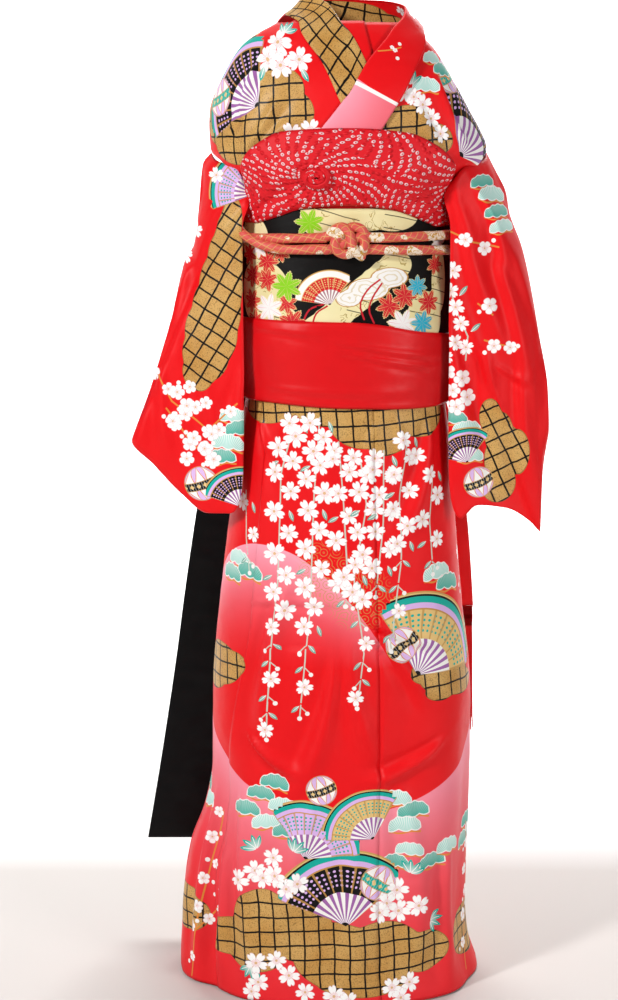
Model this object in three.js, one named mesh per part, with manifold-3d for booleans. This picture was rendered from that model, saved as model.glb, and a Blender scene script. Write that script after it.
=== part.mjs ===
// A girl's long-sleeved kimono, worn shape with nobody in it, and the sashes that belong to it.
// Millimetres, +Z up, front faces -Y, the wearer's left is +X.
// The origin is in the middle of the neck opening, where a wearer's shoulders hold the garment up.
import * as THREE from 'three';
import Module from 'manifold-3d';
import { mergeVertices } from 'three/addons/utils/BufferGeometryUtils.js';

const manifoldLibrary = await Module();
manifoldLibrary.setup();

// ---------------------------------------------------------------- driving sizes
const HEM_Z = -1040;          // the skirt ends here, just on the floor
const CLOTH = 1.5;            // thickness of one layer of lined silk
const SEAM = 0.6;             // gap that parts two pieces along a seam
const LAYER = 1.2;            // clear space between two layers that lie on each other
const OVERLAP_OUT = CLOTH + LAYER;   // the upper front lies this far out from the lower one
const REST_GAP = 0.4;         // gap under what lies on another piece
const WAIST_TOP_Z = -150;     // below this the fronts overlap by angle, above it by the neck lines

// `out` is how far a piece's outer face lies from the body's surface.
const OBI = { top: -161, bottom: -300, wall: 3, out: 8.6 };
const SASH = { wall: 2.4, outTop: 11.8, outBottom: 8.2 };
const SCARF = { wall: 2.4, outTop: 12.8, outBottom: 11.6, puff: 5, puffUnderArm: 0.6 };
const COLLAR = { wall: 2.6, out: 6, outOver: 8.8 };
const CORD = { radius: 5.5, sides: 8 };
const SLEEVE_WALL = 1.5;

const RED = 0xd3141f;
const OBI_BLACK = 0x1c1712;
const SATIN_BLACK = 0x101012;
const SCARF_RED = 0xcf1626;
const CORD_RED = 0xd9503a;
const SASH_RED = 0xd80f14;

// ---------------------------------------------------------------- tables of the body's form
// One row for each height: how far the cloth reaches from the middle to each side.
const BODY_ROWS = [
  // z,   right,  left, front,  back
  [72,      38,    42,    20,    57],
  [60,      42,    50,    24,    60],
  [45,      54,    58,    30,    66],
  [32,      74,    70,    40,    70],
  [20,      97,    80,    50,    73],
  [8,      112,    92,    58,    76],
  [-4,     121,   101,    65,    78],
  [-20,    130,   110,    75,    80],
  [-40,    140,   122,    83,    82],
  [-60,    146,   133,    87,    83],
  [-80,    147,   144,    90,    83],
  [-100,   146,   152,    92,    82],
  [-114,   140,   150,    92,    80],
  [-128,   127,   134,    91,    78],
  [-144,   113,   114,    88,    76],
  [-160,   107,   107,    85,    75],
  [-200,   107,   107,    85,    75],
  [-290,   107,   108,    86,    76],
  [-360,   108,   109,    89,    78],
  [-420,   118,   115,    92,    82],
  [-500,   127,   122,    95,    88],
  [-600,   139,   131,   100,    94],
  [-700,   148,   142,   104,   100],
  [-800,   150,   144,   108,   106],
  [-850,   160,   143,   111,   110],
  [-900,   177,   141,   114,   114],
  [-950,   184,   140,   117,   117],
  [-1000,  187,   144,   121,   120],
  [-1040,  188,   156,   126,   123],
].map(([z, right, left, front, back]) => ({ z, right, left, front, back }));

// Exponent of the section's superellipse: rounder at the neck, fuller at the waist.
const SECTION_POWER = 2.35;

// Large folds of the skirt: soft troughs (depth > 0) and ridges (depth < 0) that run down the cloth.
const FOLD_ROWS = [
  // angle top,  angle foot,  top z, foot z, depth, spread (degrees)
  [-66,  -50,  -720, -1080,  12,  13],
  [ 72,   66,  -640, -1080,   6,  12],
  [-20,  -16,  -400,  -640,   3,  10],
  [ 28,   20,  -560,  -900,   4,  12],
  [-118, -124, -480, -1080,   9,  13],
  [ 122,  128, -480, -1080,   8,  13],
  [-156, -160, -620, -1080,   5,  12],
  [ 156,  160, -560, -1080,   6,  12],
].map(([angleTop, angleFoot, topZ, footZ, depth, spread]) =>
  ({ angleTop, angleFoot, topZ, footZ, depth, spread }));

// Heights of the rows of points on the body panels.
const UPPER_ROW_Z = [32, 22, 12, 0, -20, -42, -64, -84, -104, -114, -126, -138, -152];
const LOWER_ROW_Z = [-168, -290, -372, -420, -480, -550, -620, -700, -760, -810, -850, -890, -930,
  -985, HEM_Z];

// Armholes: the part of the side where sleeve and body are open to each other.
const ARMHOLE = { middleZ: -127, halfHeight: 23, reach: 25 };

// ---------------------------------------------------------------- small maths
const rad = THREE.MathUtils.degToRad;
const lerp = THREE.MathUtils.lerp;
const smoothstep = THREE.MathUtils.smoothstep;

// Smooth value of one column of a table at one key, through every row and never past it between rows.
function smoothColumn(rows, key, column, at) {
  const ascending = rows[0][key] < rows[rows.length - 1][key];
  const list = ascending ? rows : [...rows].reverse();
  const last = list.length - 1;
  if (at <= list[0][key]) return list[0][column];
  if (at >= list[last][key]) return list[last][column];
  let i = 0;
  while (list[i + 1][key] < at) i += 1;
  const slope = (a, b) => (list[b][column] - list[a][column]) / (list[b][key] - list[a][key]);
  const join = (a, b) => (a * b > 0 ? (2 * a * b) / (a + b) : 0);
  const here = slope(i, i + 1);
  const before = i > 0 ? join(slope(i - 1, i), here) : here;
  const after = i + 2 <= last ? join(here, slope(i + 1, i + 2)) : here;
  const span = list[i + 1][key] - list[i][key];
  const t = (at - list[i][key]) / span;
  const t2 = t * t;
  const t3 = t2 * t;
  return (2 * t3 - 3 * t2 + 1) * list[i][column] + (t3 - 2 * t2 + t) * span * before
    + (-2 * t3 + 3 * t2) * list[i + 1][column] + (t3 - t2) * span * after;
}

// ---------------------------------------------------------------- the body's surface
// Angle 0 faces the front, +90 the wearer's left side (+X), 180 the middle of the back.
function foldDepth(angle, z) {
  let depth = 0;
  for (const fold of FOLD_ROWS) {
    if (z > fold.topZ || z < fold.footZ) continue;
    const down = (fold.topZ - z) / (fold.topZ - fold.footZ);
    const middle = lerp(fold.angleTop, fold.angleFoot, down);
    const off = (THREE.MathUtils.euclideanModulo(angle - middle + 180, 360) - 180) / fold.spread;
    const strength = smoothstep(down, 0, 0.45) * smoothstep(1.2 - down, 0, 0.25);
    depth += fold.depth * strength * Math.exp(-off * off);
  }
  return depth;
}

function bodySection(angle, z) {
  const sideColumn = Math.sin(rad(angle)) >= 0 ? 'left' : 'right';
  const depthColumn = Math.cos(rad(angle)) >= 0 ? 'front' : 'back';
  const fold = foldDepth(angle, z);
  const halfWidth = smoothColumn(BODY_ROWS, 'z', sideColumn, z) - fold;
  const halfDepth = smoothColumn(BODY_ROWS, 'z', depthColumn, z) - fold;
  const s = Math.sin(rad(angle));
  const c = Math.cos(rad(angle));
  const power = 2 / SECTION_POWER;
  return new THREE.Vector3(
    Math.sign(s) * halfWidth * Math.abs(s) ** power,
    -Math.sign(c) * halfDepth * Math.abs(c) ** power,
    z,
  );
}

// Point of the body's surface moved out by a distance along the surface's own normal.
function bodyPoint(angle, z, out = 0) {
  const turn = 1.5;
  const rise = 3;
  const point = bodySection(angle, z);
  const across = bodySection(angle + turn, z).sub(bodySection(angle - turn, z));
  const up = bodySection(angle, z + rise).sub(bodySection(angle, z - rise));
  return point.addScaledVector(across.cross(up).normalize(), out);
}

// Angle at which the section at z has the given x, on the front half.
function frontAngle(x, z) {
  const width = smoothColumn(BODY_ROWS, 'z', x >= 0 ? 'left' : 'right', z);
  const share = Math.min(Math.abs(x) / width, 0.999);
  return Math.sign(x) * THREE.MathUtils.radToDeg(Math.asin(share ** (SECTION_POWER / 2)));
}

// ---------------------------------------------------------------- closed walls
// A wall from a grid of points on its outer face, with its inner face worked out along the normals.
// Seen from outside, the first index runs down and the second to the right, or both the other way.
// `closed` joins the last column to the first, as in a tube.
function wallGeometry(outer, thickness, { closed = false } = {}) {
  const rows = outer.length;
  const columns = outer[0].length;
  const column = (j) => (closed ? (j + columns) % columns : THREE.MathUtils.clamp(j, 0, columns - 1));
  const row = (i) => THREE.MathUtils.clamp(i, 0, rows - 1);
  const normalAt = (i, j) => {
    const along = outer[i][column(j + 1)].clone().sub(outer[i][column(j - 1)]);
    const down = outer[row(i + 1)][j].clone().sub(outer[row(i - 1)][j]);
    return down.cross(along).normalize();
  };
  const inside = outer.map((line, i) =>
    line.map((point, j) => point.clone().addScaledVector(normalAt(i, j), -thickness)));
  const positions = [];
  for (const grid of [outer, inside]) {
    for (const line of grid) for (const p of line) positions.push(p.x, p.y, p.z);
  }
  const index = (layer, i, j) => layer * rows * columns + i * columns + column(j);
  const faces = [];
  const quad = (a, b, c, d) => faces.push(a, b, c, a, c, d);
  const lastColumn = closed ? columns : columns - 1;
  for (let i = 0; i < rows - 1; i += 1) {
    for (let j = 0; j < lastColumn; j += 1) {
      quad(index(0, i, j), index(0, i + 1, j), index(0, i + 1, j + 1), index(0, i, j + 1));
      quad(index(1, i, j), index(1, i, j + 1), index(1, i + 1, j + 1), index(1, i + 1, j));
    }
  }
  for (let j = 0; j < lastColumn; j += 1) {
    quad(index(0, 0, j), index(0, 0, j + 1), index(1, 0, j + 1), index(1, 0, j));
    quad(index(0, rows - 1, j), index(1, rows - 1, j), index(1, rows - 1, j + 1), index(0, rows - 1, j + 1));
  }
  if (!closed) {
    for (let i = 0; i < rows - 1; i += 1) {
      quad(index(0, i, 0), index(1, i, 0), index(1, i + 1, 0), index(0, i + 1, 0));
      quad(index(0, i, columns - 1), index(0, i + 1, columns - 1),
        index(1, i + 1, columns - 1), index(1, i, columns - 1));
    }
  }
  return outwardGeometry(positions, faces);
}

// A tube of solid cross-section through rings of points, capped at both ends.
function solidGeometry(rings) {
  const sides = rings[0].length;
  const positions = rings.flat().flatMap((p) => [p.x, p.y, p.z]);
  const faces = [];
  for (let i = 0; i < rings.length - 1; i += 1) {
    for (let j = 0; j < sides; j += 1) {
      const k = (j + 1) % sides;
      faces.push(i * sides + j, (i + 1) * sides + j, (i + 1) * sides + k);
      faces.push(i * sides + j, (i + 1) * sides + k, i * sides + k);
    }
  }
  const end = (rings.length - 1) * sides;
  for (let j = 1; j < sides - 1; j += 1) {
    faces.push(0, j, j + 1);
    faces.push(end, end + j + 1, end + j);
  }
  return outwardGeometry(positions, faces);
}

// Geometry whose faces point out, whichever way round its grid was written.
function outwardGeometry(positions, faces) {
  const corner = (i) => new THREE.Vector3(...positions.slice(3 * i, 3 * i + 3));
  let volume = 0;
  for (let f = 0; f < faces.length; f += 3) {
    volume += corner(faces[f]).dot(corner(faces[f + 1]).cross(corner(faces[f + 2])));
  }
  if (volume < 0) {
    for (let f = 0; f < faces.length; f += 3) [faces[f], faces[f + 1]] = [faces[f + 1], faces[f]];
  }
  const geometry = new THREE.BufferGeometry();
  geometry.setAttribute('position', new THREE.Float32BufferAttribute(positions, 3));
  geometry.setIndex(faces);
  geometry.computeVertexNormals();
  return geometry;
}

const silk = (color, roughness = 0.45) => new THREE.MeshStandardMaterial({ color, roughness, metalness: 0 });

const garment = new THREE.Group();

function addPiece(name, geometry, material) {
  const mesh = new THREE.Mesh(geometry, material);
  mesh.name = name;
  garment.add(mesh);
}

// ---------------------------------------------------------------- body panels
// Degrees of turn that cover a distance along the surface at one place.
function turnFor(distance, angle, z) {
  const step = 1;
  const length = bodySection(angle + step, z).distanceTo(bodySection(angle - step, z));
  return (2 * step * distance) / length;
}

// How far the armhole cuts in from the side line at a height, in degrees.
function armholeReach(z) {
  const off = (z - ARMHOLE.middleZ) / ARMHOLE.halfHeight;
  return Math.abs(off) < 1 ? ARMHOLE.reach * Math.sqrt(1 - off * off) : 0;
}

// A panel through lines that run down the body. Each line gives its angle at a height. Layers that lie
// on each other share their lines, so that their facets match. `columns` holds the count between lines.
function bodyPanel({ lines, columns, rowZ, out = () => 0 }) {
  const last = lines.length - 1;
  const outer = rowZ.map((z) => {
    const angles = lines.map((line) => line(z));
    angles[0] += turnFor(SEAM / 2, angles[0], z);
    angles[last] -= turnFor(SEAM / 2, angles[last], z);
    const points = [];
    columns.forEach((count, span) => {
      for (let j = span === 0 ? 0 : 1; j <= count; j += 1) {
        const angle = lerp(angles[span], angles[span + 1], j / count);
        points.push(bodyPoint(angle, z, CLOTH + out(angle, z)));
      }
    });
    return points;
  });
  return wallGeometry(outer, CLOTH);
}

// The collar's centre lines on the fronts, x by height. Each front ends under its own collar.
const NECK_SIDE = 10;          // the fronts keep at least this much width at the shoulder
const HIDDEN_X = 16;           // the neck lines stop crossing over here, under the scarf
const LEAST_TURN = 4;          // degrees: the overlap panels are nowhere narrower than this
const overNeckX = (z) => 77 - (24 - z) * 0.709;
const underNeckX = (z) => -35 + (46 - z) * 0.507;
const OKUMI_SEAM = 12;         // degrees: seam of the over front and its overlap panel
const UNDER_OKUMI_SEAM = -22;  // degrees: the same seam of the under front
const UNDER_OKUMI_EDGE = 44;   // degrees: the under front ends here, hidden

// The free front edge of the overlap panel runs down the wearer's right.
const FREE_EDGE_ROWS = [
  // z,   angle
  [-150, -46],
  [-372, -52],
  [-425, -44],
  [-600, -44],
  [-800, -58],
  [-920, -56],
  [HEM_Z, -50],
].map(([z, angle]) => ({ z, angle }));
const freeEdge = (z) => smoothColumn(FREE_EDGE_ROWS, 'z', 'angle', z);

// The over front lies on the under one, and comes in to the side seam at the same depth as the back.
const overOut = (angle) => OVERLAP_OUT * (1 - smoothstep(angle, 58, 88));

function buildBody() {
  const allRows = [...UPPER_ROW_Z, ...LOWER_ROW_Z];
  const leftSide = (z) => 90 - armholeReach(z);
  const rightSide = (z) => -90 + armholeReach(z);
  const shoulderX = (z) => smoothColumn(BODY_ROWS, 'z', 'left', z) - NECK_SIDE;
  const overInner = (z) => (z > WAIST_TOP_Z
    ? frontAngle(Math.max(Math.min(overNeckX(z), shoulderX(z)), -HIDDEN_X), z) : OKUMI_SEAM);
  const underInner = (z) => (z > WAIST_TOP_Z
    ? frontAngle(Math.min(underNeckX(z), 2 * HIDDEN_X), z) : UNDER_OKUMI_SEAM);
  const underEdge = (z) => Math.max(overInner(z) + LEAST_TURN, UNDER_OKUMI_EDGE);
  const okumiSeam = () => OKUMI_SEAM;
  const underOkumiSeam = () => UNDER_OKUMI_SEAM;
  const freeLine = (z) => Math.min(freeEdge(z), underInner(z) - LEAST_TURN);
  addPiece('front_left', bodyPanel({
    lines: [overInner, underEdge, leftSide], columns: [4, 5], rowZ: allRows, out: overOut,
  }), silk(RED));
  addPiece('front_right', bodyPanel({
    lines: [rightSide, freeLine, underInner], columns: [4, 4], rowZ: allRows,
  }), silk(RED));
  addPiece('okumi_left', bodyPanel({
    lines: [freeLine, underOkumiSeam, okumiSeam], columns: [4, 4], rowZ: LOWER_ROW_Z, out: overOut,
  }), silk(RED));
  addPiece('okumi_right', bodyPanel({
    lines: [underOkumiSeam, okumiSeam, underEdge], columns: [4, 4], rowZ: LOWER_ROW_Z,
  }), silk(RED));
  addPiece('back_left', bodyPanel({
    lines: [(z) => 90 + armholeReach(z), () => 180], columns: [7], rowZ: allRows,
  }), silk(RED));
  addPiece('back_right', bodyPanel({
    lines: [() => 180, (z) => 270 - armholeReach(z)], columns: [7], rowZ: allRows,
  }), silk(RED));
}

// ---------------------------------------------------------------- collar
// The band's rows, from its end on the over front, round the neck, to its end on the under front.
// On the fronts each edge is placed by x, round the neck by angle.
const COLLAR_FRONT_OVER = [
  // t,   neck x, neck z, seam x, seam z
  [0.00,  -52,    -116,   -4,     -140],
  [0.12,  -16,    -65,    32,     -86],
  [0.24,  20,     -13,    59,     -42],
  [0.34,  46,     21,     78,     -2],
];
const COLLAR_NECK = [
  // t,   angle, neck z, seam z
  [0.42,  84,    46,     22],
  [0.50,  128,   56,     18],
  [0.58,  180,   60,     14],
  [0.66,  232,   64,     24],
  [0.74,  276,   63,     38],
];
const COLLAR_FRONT_UNDER = [
  [0.82,  -20,    52,     -52,    32],
  [0.91,  4,      19,     -29,    -7],
  [1.00,  31,     -34,    6,      -70],
];
const COLLAR_STEPS = 36;

function collarRows() {
  const fromFront = (turns, outer) => ([t, neckX, neckZ, seamX, seamZ]) => ({
    t,
    neckAngle: frontAngle(neckX, neckZ) + turns,
    neckZ,
    seamAngle: frontAngle(seamX, seamZ) + turns,
    seamZ,
    out: outer,
  });
  const fromNeck = ([t, angle, neckZ, seamZ]) => ({
    t, neckAngle: angle, neckZ, seamAngle: angle, seamZ, out: angle < 90 ? COLLAR.outOver : COLLAR.out,
  });
  return [
    ...COLLAR_FRONT_OVER.map(fromFront(0, COLLAR.outOver)),
    ...COLLAR_NECK.map(fromNeck),
    ...COLLAR_FRONT_UNDER.map(fromFront(360, COLLAR.out)),
  ];
}

function buildCollar() {
  const rows = collarRows();
  const at = (column, t) => smoothColumn(rows, 't', column, t);
  const outer = Array.from({ length: COLLAR_STEPS + 1 }, (_, i) => {
    const t = i / COLLAR_STEPS;
    return [1, 0.75, 0.5, 0.25, 0].map((across) => bodyPoint(
      lerp(at('neckAngle', t), at('seamAngle', t), across),
      lerp(at('neckZ', t), at('seamZ', t), across),
      at('out', t),
    ));
  });
  addPiece('collar', wallGeometry(outer, COLLAR.wall), silk(RED));
}

// ---------------------------------------------------------------- sleeves
// A sleeve is a flat bag. Its edges are the body side (armhole and the open edge below it), the fold
// over the arm, the cuff, and the sewn bottom. `half` is half the bag's depth there.
const SLEEVES = {
  // The wearer's right sleeve. Its front layer folds over along a slanting line.
  sleeve_right: {
    bodySide: [
      // share, x, front y, back y, z
      [0.00, -147,   -2,   2,  -105],
      [0.05, -144,  -30,  30,  -112],
      [0.12, -136,  -60,  53,  -120],
      [0.20, -130,  -62,  46,  -150],
      [0.34, -130,  -63,  36,  -215],
      [0.58, -129,  -61,  24,  -330],
      [0.80, -129,  -62,   2,  -418],
      [1.00, -127,  -70, -62,  -494],
    ],
    overArm: [
      // share, x,   y,   z
      [0.00, -147,   0, -105],
      [0.08, -156,   0, -117],
      [0.30, -161,  -1, -165],
      [0.52, -167,  -3, -206],
      [0.62, -176,  -5, -220],
      [0.78, -182,  -8, -248],
      [1.00, -183, -12, -288],
    ],
    cuff: [
      // share, x, front y, back y, z
      [0.00, -183, -15,  -9, -288],
      [0.50, -206, -32,  -8, -352],
      [1.00, -225, -34, -26, -398],
    ],
    bottom: [
      [0.00, -127, -66, -494],
      [0.22, -152, -58, -495],
      [0.45, -182, -48, -474],
      [0.66, -212, -38, -444],
      [0.84, -236, -32, -419],
      [1.00, -225, -30, -398],
    ],
    steps: [{ x0: -113, z0: -117, x1: -234, z1: -418, toBody: 8, away: 0 }],
  },
  // The wearer's left sleeve. Its outer half folds forward, and so does its edge next to the body.
  sleeve_left: {
    bodySide: [
      [0.00, 154,   -2,   2,  -104.8],
      [0.05, 151,  -30,  30,  -112],
      [0.12, 142,  -64,  53,  -120],
      [0.20, 131,  -62,  46,  -150],
      [0.34, 130,  -63,  36,  -215],
      [0.58, 130,  -61,  24,  -330],
      [0.80, 130,  -62,   2,  -420],
      [1.00, 128,  -70, -62,  -500],
    ],
    overArm: [
      [0.00, 154,   0, -104.8],
      [0.08, 163,   0, -122],
      [0.20, 176,  -1, -148],
      [0.34, 180,  -2, -170],
      [0.50, 194,  -5, -207],
      [0.75, 205,  -8, -254],
      [1.00, 214, -10, -305],
    ],
    cuff: [
      [0.00, 214, -13,  -7, -305],
      [0.50, 222, -28,  -4, -358],
      [1.00, 225, -30, -22, -412],
    ],
    bottom: [
      [0.00, 128, -66, -500],
      [0.20, 146, -60, -486],
      [0.42, 178, -50, -491],
      [0.60, 204, -40, -507],
      [0.72, 217, -34, -521],
      [0.86, 219, -30, -455],
      [1.00, 225, -26, -412],
    ],
    steps: [
      { x0: 108, z0: -170, x1: 204, z1: -494, toBody: 0, away: 9 },
      { x0: 118, z0: -205, x1: 163, z1: -470, toBody: 5, away: 0 },
    ],
  },
};
const SLEEVE_ACROSS = 9;
const SLEEVE_DOWN = 14;
const STEP_SOFTNESS = 11;       // mm over which a folded-over layer's edge falls away
const SLEEVE_LAP = 15;          // how far the front layer's body edge reaches in front of the sashes

// An open edge has a front and a back depth; a fold or sewn edge has one.
function edgeCurve(rows) {
  const table = rows.map((row) => {
    const [share, x, frontY, backY, z] = row.length === 5 ? row : [row[0], row[1], row[2], row[2], row[3]];
    return { share, x, frontY, backY, z };
  });
  return (share) => {
    const at = (column) => smoothColumn(table, 'share', column, share);
    const middleY = (at('frontY') + at('backY')) / 2;
    return { point: new THREE.Vector3(at('x'), middleY, at('z')), half: (at('backY') - at('frontY')) / 2 };
  };
}

// Middle of the bag at a place: a patch between its four edges.
function sleeveMiddle(edges, across, down) {
  const body = edges.bodySide(down);
  const cuff = edges.cuff(down);
  const top = edges.overArm(across);
  const bottom = edges.bottom(across);
  const corner = (a, d) => (a === 0 ? edges.bodySide(d) : edges.cuff(d)).point;
  const point = body.point.clone().multiplyScalar(1 - across).addScaledVector(cuff.point, across)
    .addScaledVector(top.point, 1 - down).addScaledVector(bottom.point, down)
    .addScaledVector(corner(0, 0), -(1 - across) * (1 - down))
    .addScaledVector(corner(1, 0), -across * (1 - down))
    .addScaledVector(corner(0, 1), -(1 - across) * down)
    .addScaledVector(corner(1, 1), -across * down);
  return { point, half: lerp(body.half, cuff.half, across) };
}

// How far a folded-over layer stands forward at a place on the sleeve's front.
function foldedForward(steps, x, z) {
  let forward = 0;
  for (const { x0, z0, x1, z1, toBody, away } of steps) {
    const length = Math.hypot(x1 - x0, z1 - z0);
    const side = ((x - x0) * (z1 - z0) - (z - z0) * (x1 - x0)) / length;
    const outward = Math.sign(x0) * -side;
    const share = smoothstep(outward, -STEP_SOFTNESS, STEP_SOFTNESS);
    forward += lerp(toBody, away, share);
  }
  return forward;
}

function sleeveGeometry({ bodySide, overArm, cuff, bottom, steps }) {
  const edges = {
    bodySide: edgeCurve(bodySide),
    overArm: edgeCurve(overArm),
    cuff: edgeCurve(cuff),
    bottom: edgeCurve(bottom),
  };
  const rings = Array.from({ length: SLEEVE_ACROSS + 1 }, (_, i) => {
    const across = i / SLEEVE_ACROSS;
    const ring = [];
    for (let j = 0; j < 2 * SLEEVE_DOWN; j += 1) {
      const front = j < SLEEVE_DOWN;
      const down = front ? j / SLEEVE_DOWN : 2 - j / SLEEVE_DOWN;
      const { point, half } = sleeveMiddle(edges, across, down);
      const rounding = Math.max(0, 1 - (2 * down - 1) ** 6) ** 0.5;
      const depth = half * rounding;
      if (front) {
        point.y -= depth + rounding * foldedForward(steps, point.x, point.z);
        const lap = SLEEVE_LAP * smoothstep(down, 0.08, 0.2) * rounding * (1 - across) ** 3;
        point.x -= Math.sign(point.x) * lap;
      } else {
        point.y += depth;
      }
      ring.push(point);
    }
    return overArm[0][1] > 0 ? ring.reverse() : ring;
  });
  return wallGeometry(rings, SLEEVE_WALL, { closed: true });
}

function buildSleeves() {
  for (const [name, table] of Object.entries(SLEEVES)) addPiece(name, sleeveGeometry(table), silk(RED));
}

// ---------------------------------------------------------------- sashes round the body
// Point beside the body, moved straight out from the upright waist.
function waistPoint(angle, z, out) {
  const turn = 1.5;
  const point = bodySection(angle, z);
  const across = bodySection(angle + turn, z).sub(bodySection(angle - turn, z));
  return point.addScaledVector(new THREE.Vector3(across.y, -across.x, 0).normalize(), out);
}

// A band right round the body. `edges` gives its top and bottom by angle, `out` its outer face by share
// from the top and by angle.
function bandGeometry({ edges, out, wall, columns, rows }) {
  const table = edges.map(([angle, top, bottom]) => ({ angle, top, bottom }));
  const outer = Array.from({ length: rows + 1 }, (_, i) => {
    const share = i / rows;
    return Array.from({ length: columns }, (__, j) => {
      const angle = -180 + (360 * j) / columns;
      const top = smoothColumn(table, 'angle', 'top', angle);
      const bottom = smoothColumn(table, 'angle', 'bottom', angle);
      return waistPoint(angle, lerp(top, bottom, share), out(share, angle));
    });
  });
  return wallGeometry(outer, wall, { closed: true });
}

const SCARF_EDGES = [
  // angle, top,  bottom
  [-180, -153, -178],
  [-90,  -155, -178],
  [-64,  -150, -178],
  [-55,  -136, -178],
  [-46,  -114, -175],
  [-34,  -92,  -169],
  [-22,  -80,  -162],
  [0,    -77,  -158],
  [22,   -82,  -163],
  [34,   -96,  -170],
  [46,   -120, -178],
  [55,   -139, -182],
  [64,   -151, -182],
  [90,   -155, -182],
  [180,  -153, -178],
];
const SASH_EDGES = [
  [-180, -288, -374],
  [-90,  -281, -371],
  [-45,  -280, -370],
  [0,    -281, -374],
  [45,   -294, -376],
  [90,   -300, -375],
  [180,  -288, -374],
];

// The scarf is puffed in front and flat under the arms, and its bottom edge tucks in to the obi.
function scarfOut(share, angle) {
  const inFront = smoothstep(Math.cos(rad(angle)), 0.35, 0.8);
  const puff = Math.sin(Math.PI * share);
  return lerp(SCARF.outTop, SCARF.outBottom, share) + lerp(SCARF.puffUnderArm, SCARF.puff, inFront) * puff;
}

function buildSashes() {
  addPiece('obi', bandGeometry({
    edges: [[-180, OBI.top, OBI.bottom], [180, OBI.top, OBI.bottom]],
    out: () => OBI.out,
    wall: OBI.wall,
    columns: 40,
    rows: 2,
  }), silk(OBI_BLACK, 0.5));
  addPiece('obiage', bandGeometry({
    edges: SCARF_EDGES, out: scarfOut, wall: SCARF.wall, columns: 40, rows: 4,
  }), silk(SCARF_RED, 0.7));
  addPiece('shigoki', bandGeometry({
    edges: SASH_EDGES,
    out: (share) => lerp(SASH.outTop, SASH.outBottom, smoothstep(share, 0.25, 1)),
    wall: SASH.wall,
    columns: 40,
    rows: 3,
  }), silk(SASH_RED, 0.35));
}

// ---------------------------------------------------------------- cord and knots
const CORD_RUNS = {
  obijime_upper: [
    // angle, z
    [-15, -190.5],
    [-60, -189],
    [-100, -189],
    [-180, -190],
    [-270, -193],
    [-300, -191],
    [-345, -190.5],
  ],
  obijime_lower: [
    [-15, -203],
    [-60, -205],
    [-100, -204],
    [-180, -204],
    [-270, -209],
    [-300, -207],
    [-345, -203],
  ],
};
const CORD_STEPS = 38;
const CORD_KNOT = { width: 46, depth: 13, height: 36, z: -197 };
const SCARF_KNOT = { x: -31, z: -128, width: 27, depth: 13, height: 22, share: 0.6, clear: 0.1 };

function buildCord() {
  for (const [name, rows] of Object.entries(CORD_RUNS)) {
    const table = rows.map(([angle, z]) => ({ angle, z }));
    const first = rows[0][0];
    const last = rows[rows.length - 1][0];
    const route = Array.from({ length: CORD_STEPS + 1 }, (_, i) => {
      const angle = lerp(first, last, i / CORD_STEPS);
      const z = smoothColumn(table, 'angle', 'z', angle);
      return waistPoint(angle, z, OBI.out + REST_GAP + CORD.radius);
    });
    const rings = route.map((middle, i) => {
      const ahead = route[Math.min(i + 1, CORD_STEPS)];
      const behind = route[Math.max(i - 1, 0)];
      const along = ahead.clone().sub(behind).normalize();
      const side = new THREE.Vector3(0, 0, 1).cross(along).normalize();
      const up = along.clone().cross(side);
      return Array.from({ length: CORD.sides }, (__, k) => {
        const turn = (2 * Math.PI * (k + 0.5)) / CORD.sides;
        return middle.clone()
          .addScaledVector(side, CORD.radius * Math.cos(turn))
          .addScaledVector(up, CORD.radius * Math.sin(turn));
      });
    });
    addPiece(name, solidGeometry(rings), silk(CORD_RED, 0.5));
  }
}

// A soft rounded knot that lies flat on what is behind it.
function knotGeometry({ width, depth, height }) {
  const geometry = new THREE.SphereGeometry(1, 14, 9);
  geometry.scale(width / 2, depth / 2, height / 2);
  return geometry;
}

function buildKnots() {
  const cordKnot = new THREE.Mesh(knotGeometry(CORD_KNOT), silk(CORD_RED, 0.5));
  cordKnot.name = 'obijime_knot';
  const onObi = waistPoint(0, CORD_KNOT.z, OBI.out + REST_GAP + CORD_KNOT.depth / 2);
  cordKnot.position.copy(onObi);
  garment.add(cordKnot);

  const scarfKnot = new THREE.Mesh(knotGeometry(SCARF_KNOT), silk(SCARF_RED, 0.7));
  scarfKnot.name = 'obiage_knot';
  const knotAngle = frontAngle(SCARF_KNOT.x, SCARF_KNOT.z);
  const scarfFace = scarfOut(SCARF_KNOT.share, knotAngle) + SCARF_KNOT.clear;
  const onScarf = waistPoint(knotAngle, SCARF_KNOT.z, scarfFace + SCARF_KNOT.depth / 2);
  scarfKnot.position.copy(onScarf);
  garment.add(scarfKnot);
}

// ---------------------------------------------------------------- what hangs at the back and side
// The obi's knot is a pad of folded cloth on the obi's back.
const OBI_KNOT = { width: 132, height: 104, depth: 34, z: -214, clear: 0.5, levels: 6, sides: 24 };

function buildObiKnot() {
  const { width, height, depth, z, clear, levels, sides } = OBI_KNOT;
  const front = waistPoint(180, z, OBI.out + REST_GAP + 2 * CORD.radius + clear).y;
  const rings = Array.from({ length: levels + 1 }, (_, i) => {
    const share = i / levels;
    const swell = 0.9 + 0.1 * Math.sin(Math.PI * share);
    return Array.from({ length: sides }, (__, k) => {
      const turn = (2 * Math.PI * k) / sides;
      const square = (v) => Math.sign(v) * Math.abs(v) ** 0.5;
      return new THREE.Vector3(
        (width / 2) * swell * square(Math.cos(turn)),
        front + depth * share,
        z + (height / 2) * swell * square(Math.sin(turn)),
      );
    });
  });
  addPiece('obi_knot', solidGeometry(rings), silk(OBI_BLACK, 0.5));
}

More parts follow.
